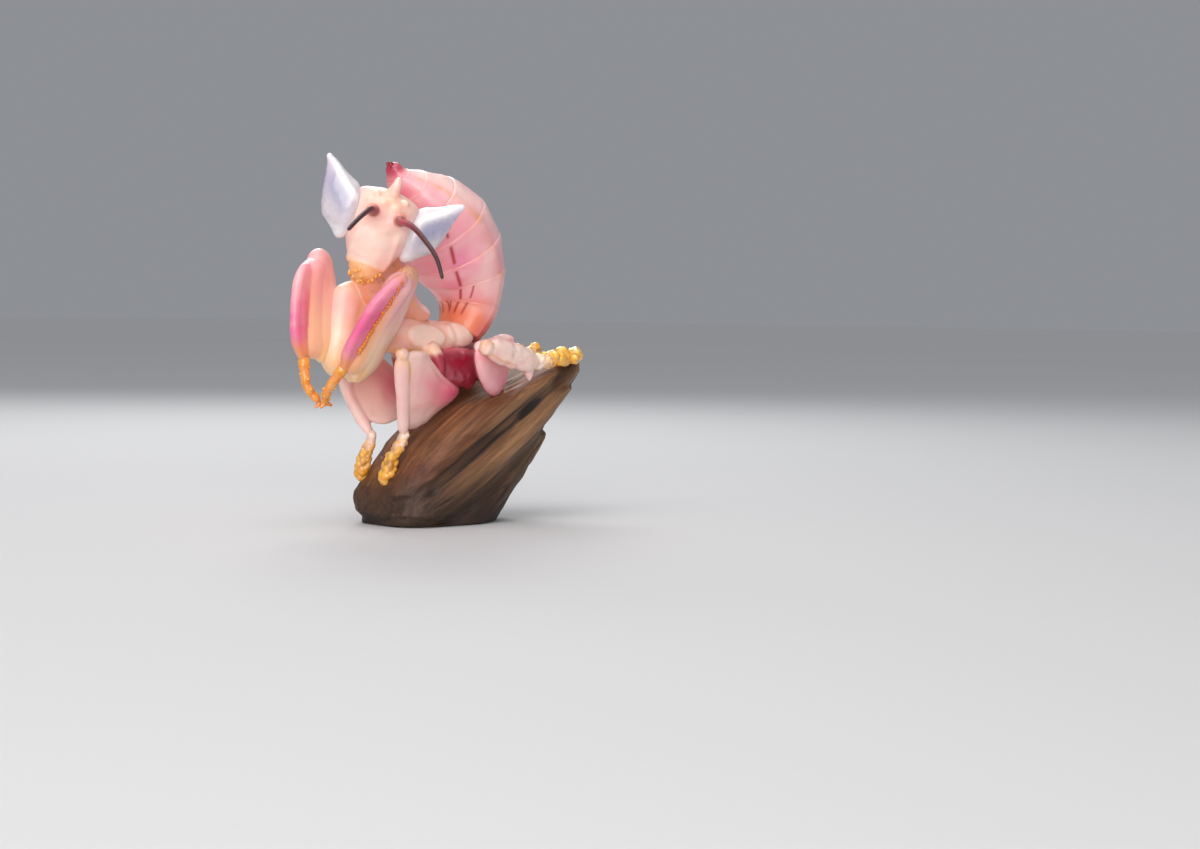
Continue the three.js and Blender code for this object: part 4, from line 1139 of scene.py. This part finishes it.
def add_base():
    levels, *edges = np.array(BASE_LEVELS, float).T
    height = np.linspace(0, 1, BASE_ROWS) ** 0.95 * levels[-1]
    front, rear, left, right = (np.interp(height, levels, edge) for edge in edges)
    a = np.arange(BASE_AROUND) * 2 * math.pi / BASE_AROUND
    turn = np.cos(a), np.sin(a)
    power = np.array([CORNERS[(1 if x > 0 else -1, 1 if y > 0 else -1)] for x, y in zip(*turn)])
    c, s = (np.sign(v) * np.abs(v) ** power for v in turn)
    p = np.stack([((front + rear) / 2)[:, None] + ((rear - front) / 2)[:, None] * c,
                  ((left + right) / 2)[:, None] + ((right - left) / 2)[:, None] * s,
                  np.tile(height[:, None], BASE_AROUND)], axis=2)
    x, y, z = axes(p)
    side = np.where(y < 0, -1, 1)
    along = x * math.cos(SLOPE) + z * math.sin(SLOPE)
    over = z * math.cos(SLOPE) - x * math.sin(SLOPE)
    share = clamp(np.abs(y) / MIDDLE)
    ribs = sum(rise * clamp(1 - ((over - at) / width) ** 2) ** 2 * (side == way)
               for way, rows in GRAIN.items() for at, width, rise in rows) * share * (z > 0)
    p[..., :2] += ribs[..., None] * np.stack(turn, axis=1)
    tips = [np.array([0.6, 0.5, 0]), np.array([29.2, -3.4, levels[-1]])]
    skin = Skin(p, height / height[-1], a, tips)
    wave = over + 0.35 * noise(np.stack([along / 7, over / 3, y / 3], axis=2), 1, 21)
    cracks = sum(depth * near((along - u) / length, 0, 1) * near((wave - v) / width, 0, 1) * (side == way)
                 for way, rows in CRACKS.items() for u, v, length, width, depth in rows)
    cracks = clamp(cracks) * share
    grain = np.stack([along / 24, over, y], axis=2)
    streaks = noise(grain, (1, 0.7, 0.7), 5)
    splits = near(noise(grain, (1, 2.2, 2.2), 9), 0, 0.07) * ramp(noise(grain, (0.8, 5, 5), 14), 0, 0.5)
    splits = splits * np.where(side > 0, 0.4, 0.9)
    foot = ramp(z, 5, 1) * ramp(x, 2, -8)
    flat = ramp(z, 0.3, 1.5)
    skin.push((0.13 * streaks - 0.5 * cracks - 0.3 * splits + 0.3 * foot * rough(p, 1.6, 6)) * flat)
    skin.p[..., 2] = np.maximum(skin.p[..., 2], 0)
    skin.p[0, :, 2] = 0
    top = ramp(skin.n[..., 2] - skin.n[..., 0], 0.5, 1.1)
    fan = np.arctan2(FAN[1] - z, FAN[0] - x) * 45
    edge = ramp(rear[:, None] - x, 7, 1) * ramp(z, 1, 4)
    lines = noise(np.stack([fan, along / 20, y / 1.5], axis=2), (0.55, 1, 1), 30)
    c = coats(
        BARK,
        (PALE_WOOD, clamp(0.25 + 0.9 * ribs + 0.65 * streaks)),
        (TAN_WOOD, clamp(0.75 * top * (0.75 + 0.5 * streaks))),
        (RED_WOOD, 0.6 * near(over, 13, 1.6) * (side < 0) + 0.3 * ramp(rough(p, 9, 3), 0, 0.5)),
        (OLIVE, clamp(0.75 * ramp(rough(p, 8, 17), -0.3, 0.4) * ramp(over, 6, 1))),
        (TAN_WOOD, 0.6 * (side > 0) * ramp(over, 6, 10)),
        (GREY_WOOD, 0.7 * ramp(x, 22, 27) * ramp(streaks, -0.5, 0.5)),
        (PALE_WOOD, 0.75 * ramp(noise(grain, (1, 3, 3), 41), 0.2, 0.5) * share),
        (PALE_WOOD, edge * ramp(lines, 0.15, 0.45)),
        (CREVICE, 0.8 * edge * ramp(-lines, 0.2, 0.6)),
        (CREVICE, clamp(0.95 * cracks + 0.75 * splits + 0.45 * ramp(-ribs, 0.25, 0.75))),
        (DARK_WOOD, 0.85 * ramp(z, 13, 3)),
        (CREVICE, 0.6 * ramp(z, 4.5, 0) * ramp(rough(p, 3, 5), -0.6, 0.3)))
    add_piece("base_wood", wood(), [(skin, c)], ["base"])


add_base()

# ---- Floor and light ----


FLOOR_SIZE, FLOOR_Z = 12, -0.0002            # metres, like the rest of this section
SKY, SKY_STRENGTH = (0.9, 0.93, 1, 1), 0.3
LIT = Vector((0.002, 0, 0.035))              # where the lamps point
# Name, azimuth, elevation, distance, size, watts, colour
LAMPS = (
    ("key", -75, 48, 0.5, 0.3, 0.7, (1, 0.97, 0.93)),
    ("fill", -45, 4, 0.6, 0.4, 2.9, (1, 0.95, 0.91)),
    ("rim", 150, 40, 0.5, 0.25, 1.05, (1, 1, 1)),
    ("top", -30, 85, 0.5, 0.3, 0.5, (1, 1, 1)),
)
SUN, SUN_ANGLE, SUN_TURN = 0.55, rad(40), (rad(20), rad(-25), 0)


def add_stage():
    bpy.ops.mesh.primitive_plane_add(size=FLOOR_SIZE, location=(0, 0, FLOOR_Z))
    floor = bpy.context.object
    floor.name = "floor"
    paper = Material("floor")
    tone = paper.add("ValToRGB", Fac=paper.add("TexNoise", Scale=40).outputs["Fac"])
    tone.color_ramp.elements[0].color = (0.60, 0.60, 0.61, 1)
    tone.color_ramp.elements[1].color = (0.64, 0.64, 0.64, 1)
    paper.put(paper.shader, Roughness=0.85, Base_Color=tone.outputs["Color"])
    floor.data.materials.append(paper.made)
    world = bpy.data.worlds.new("studio")
    world.use_nodes = True
    sky = world.node_tree.nodes["Background"].inputs
    sky["Color"].default_value, sky["Strength"].default_value = SKY, SKY_STRENGTH
    scene.world = world
    for name, azimuth, elevation, away, size, watts, tint in LAMPS:
        data = bpy.data.lights.new(name, "AREA")
        data.energy, data.size, data.color = watts, size, tint
        back = towards(rad(azimuth), rad(elevation))
        lamp = add_object(name, data)
        lamp.location = LIT + back * away
        lamp.rotation_euler = back.to_track_quat("Z", "Y").to_euler()
    data = bpy.data.lights.new("daylight", "SUN")
    data.energy, data.angle = SUN, SUN_ANGLE
    add_object("daylight", data).rotation_euler = SUN_TURN
    scene.view_settings.view_transform = "Standard"


add_stage()
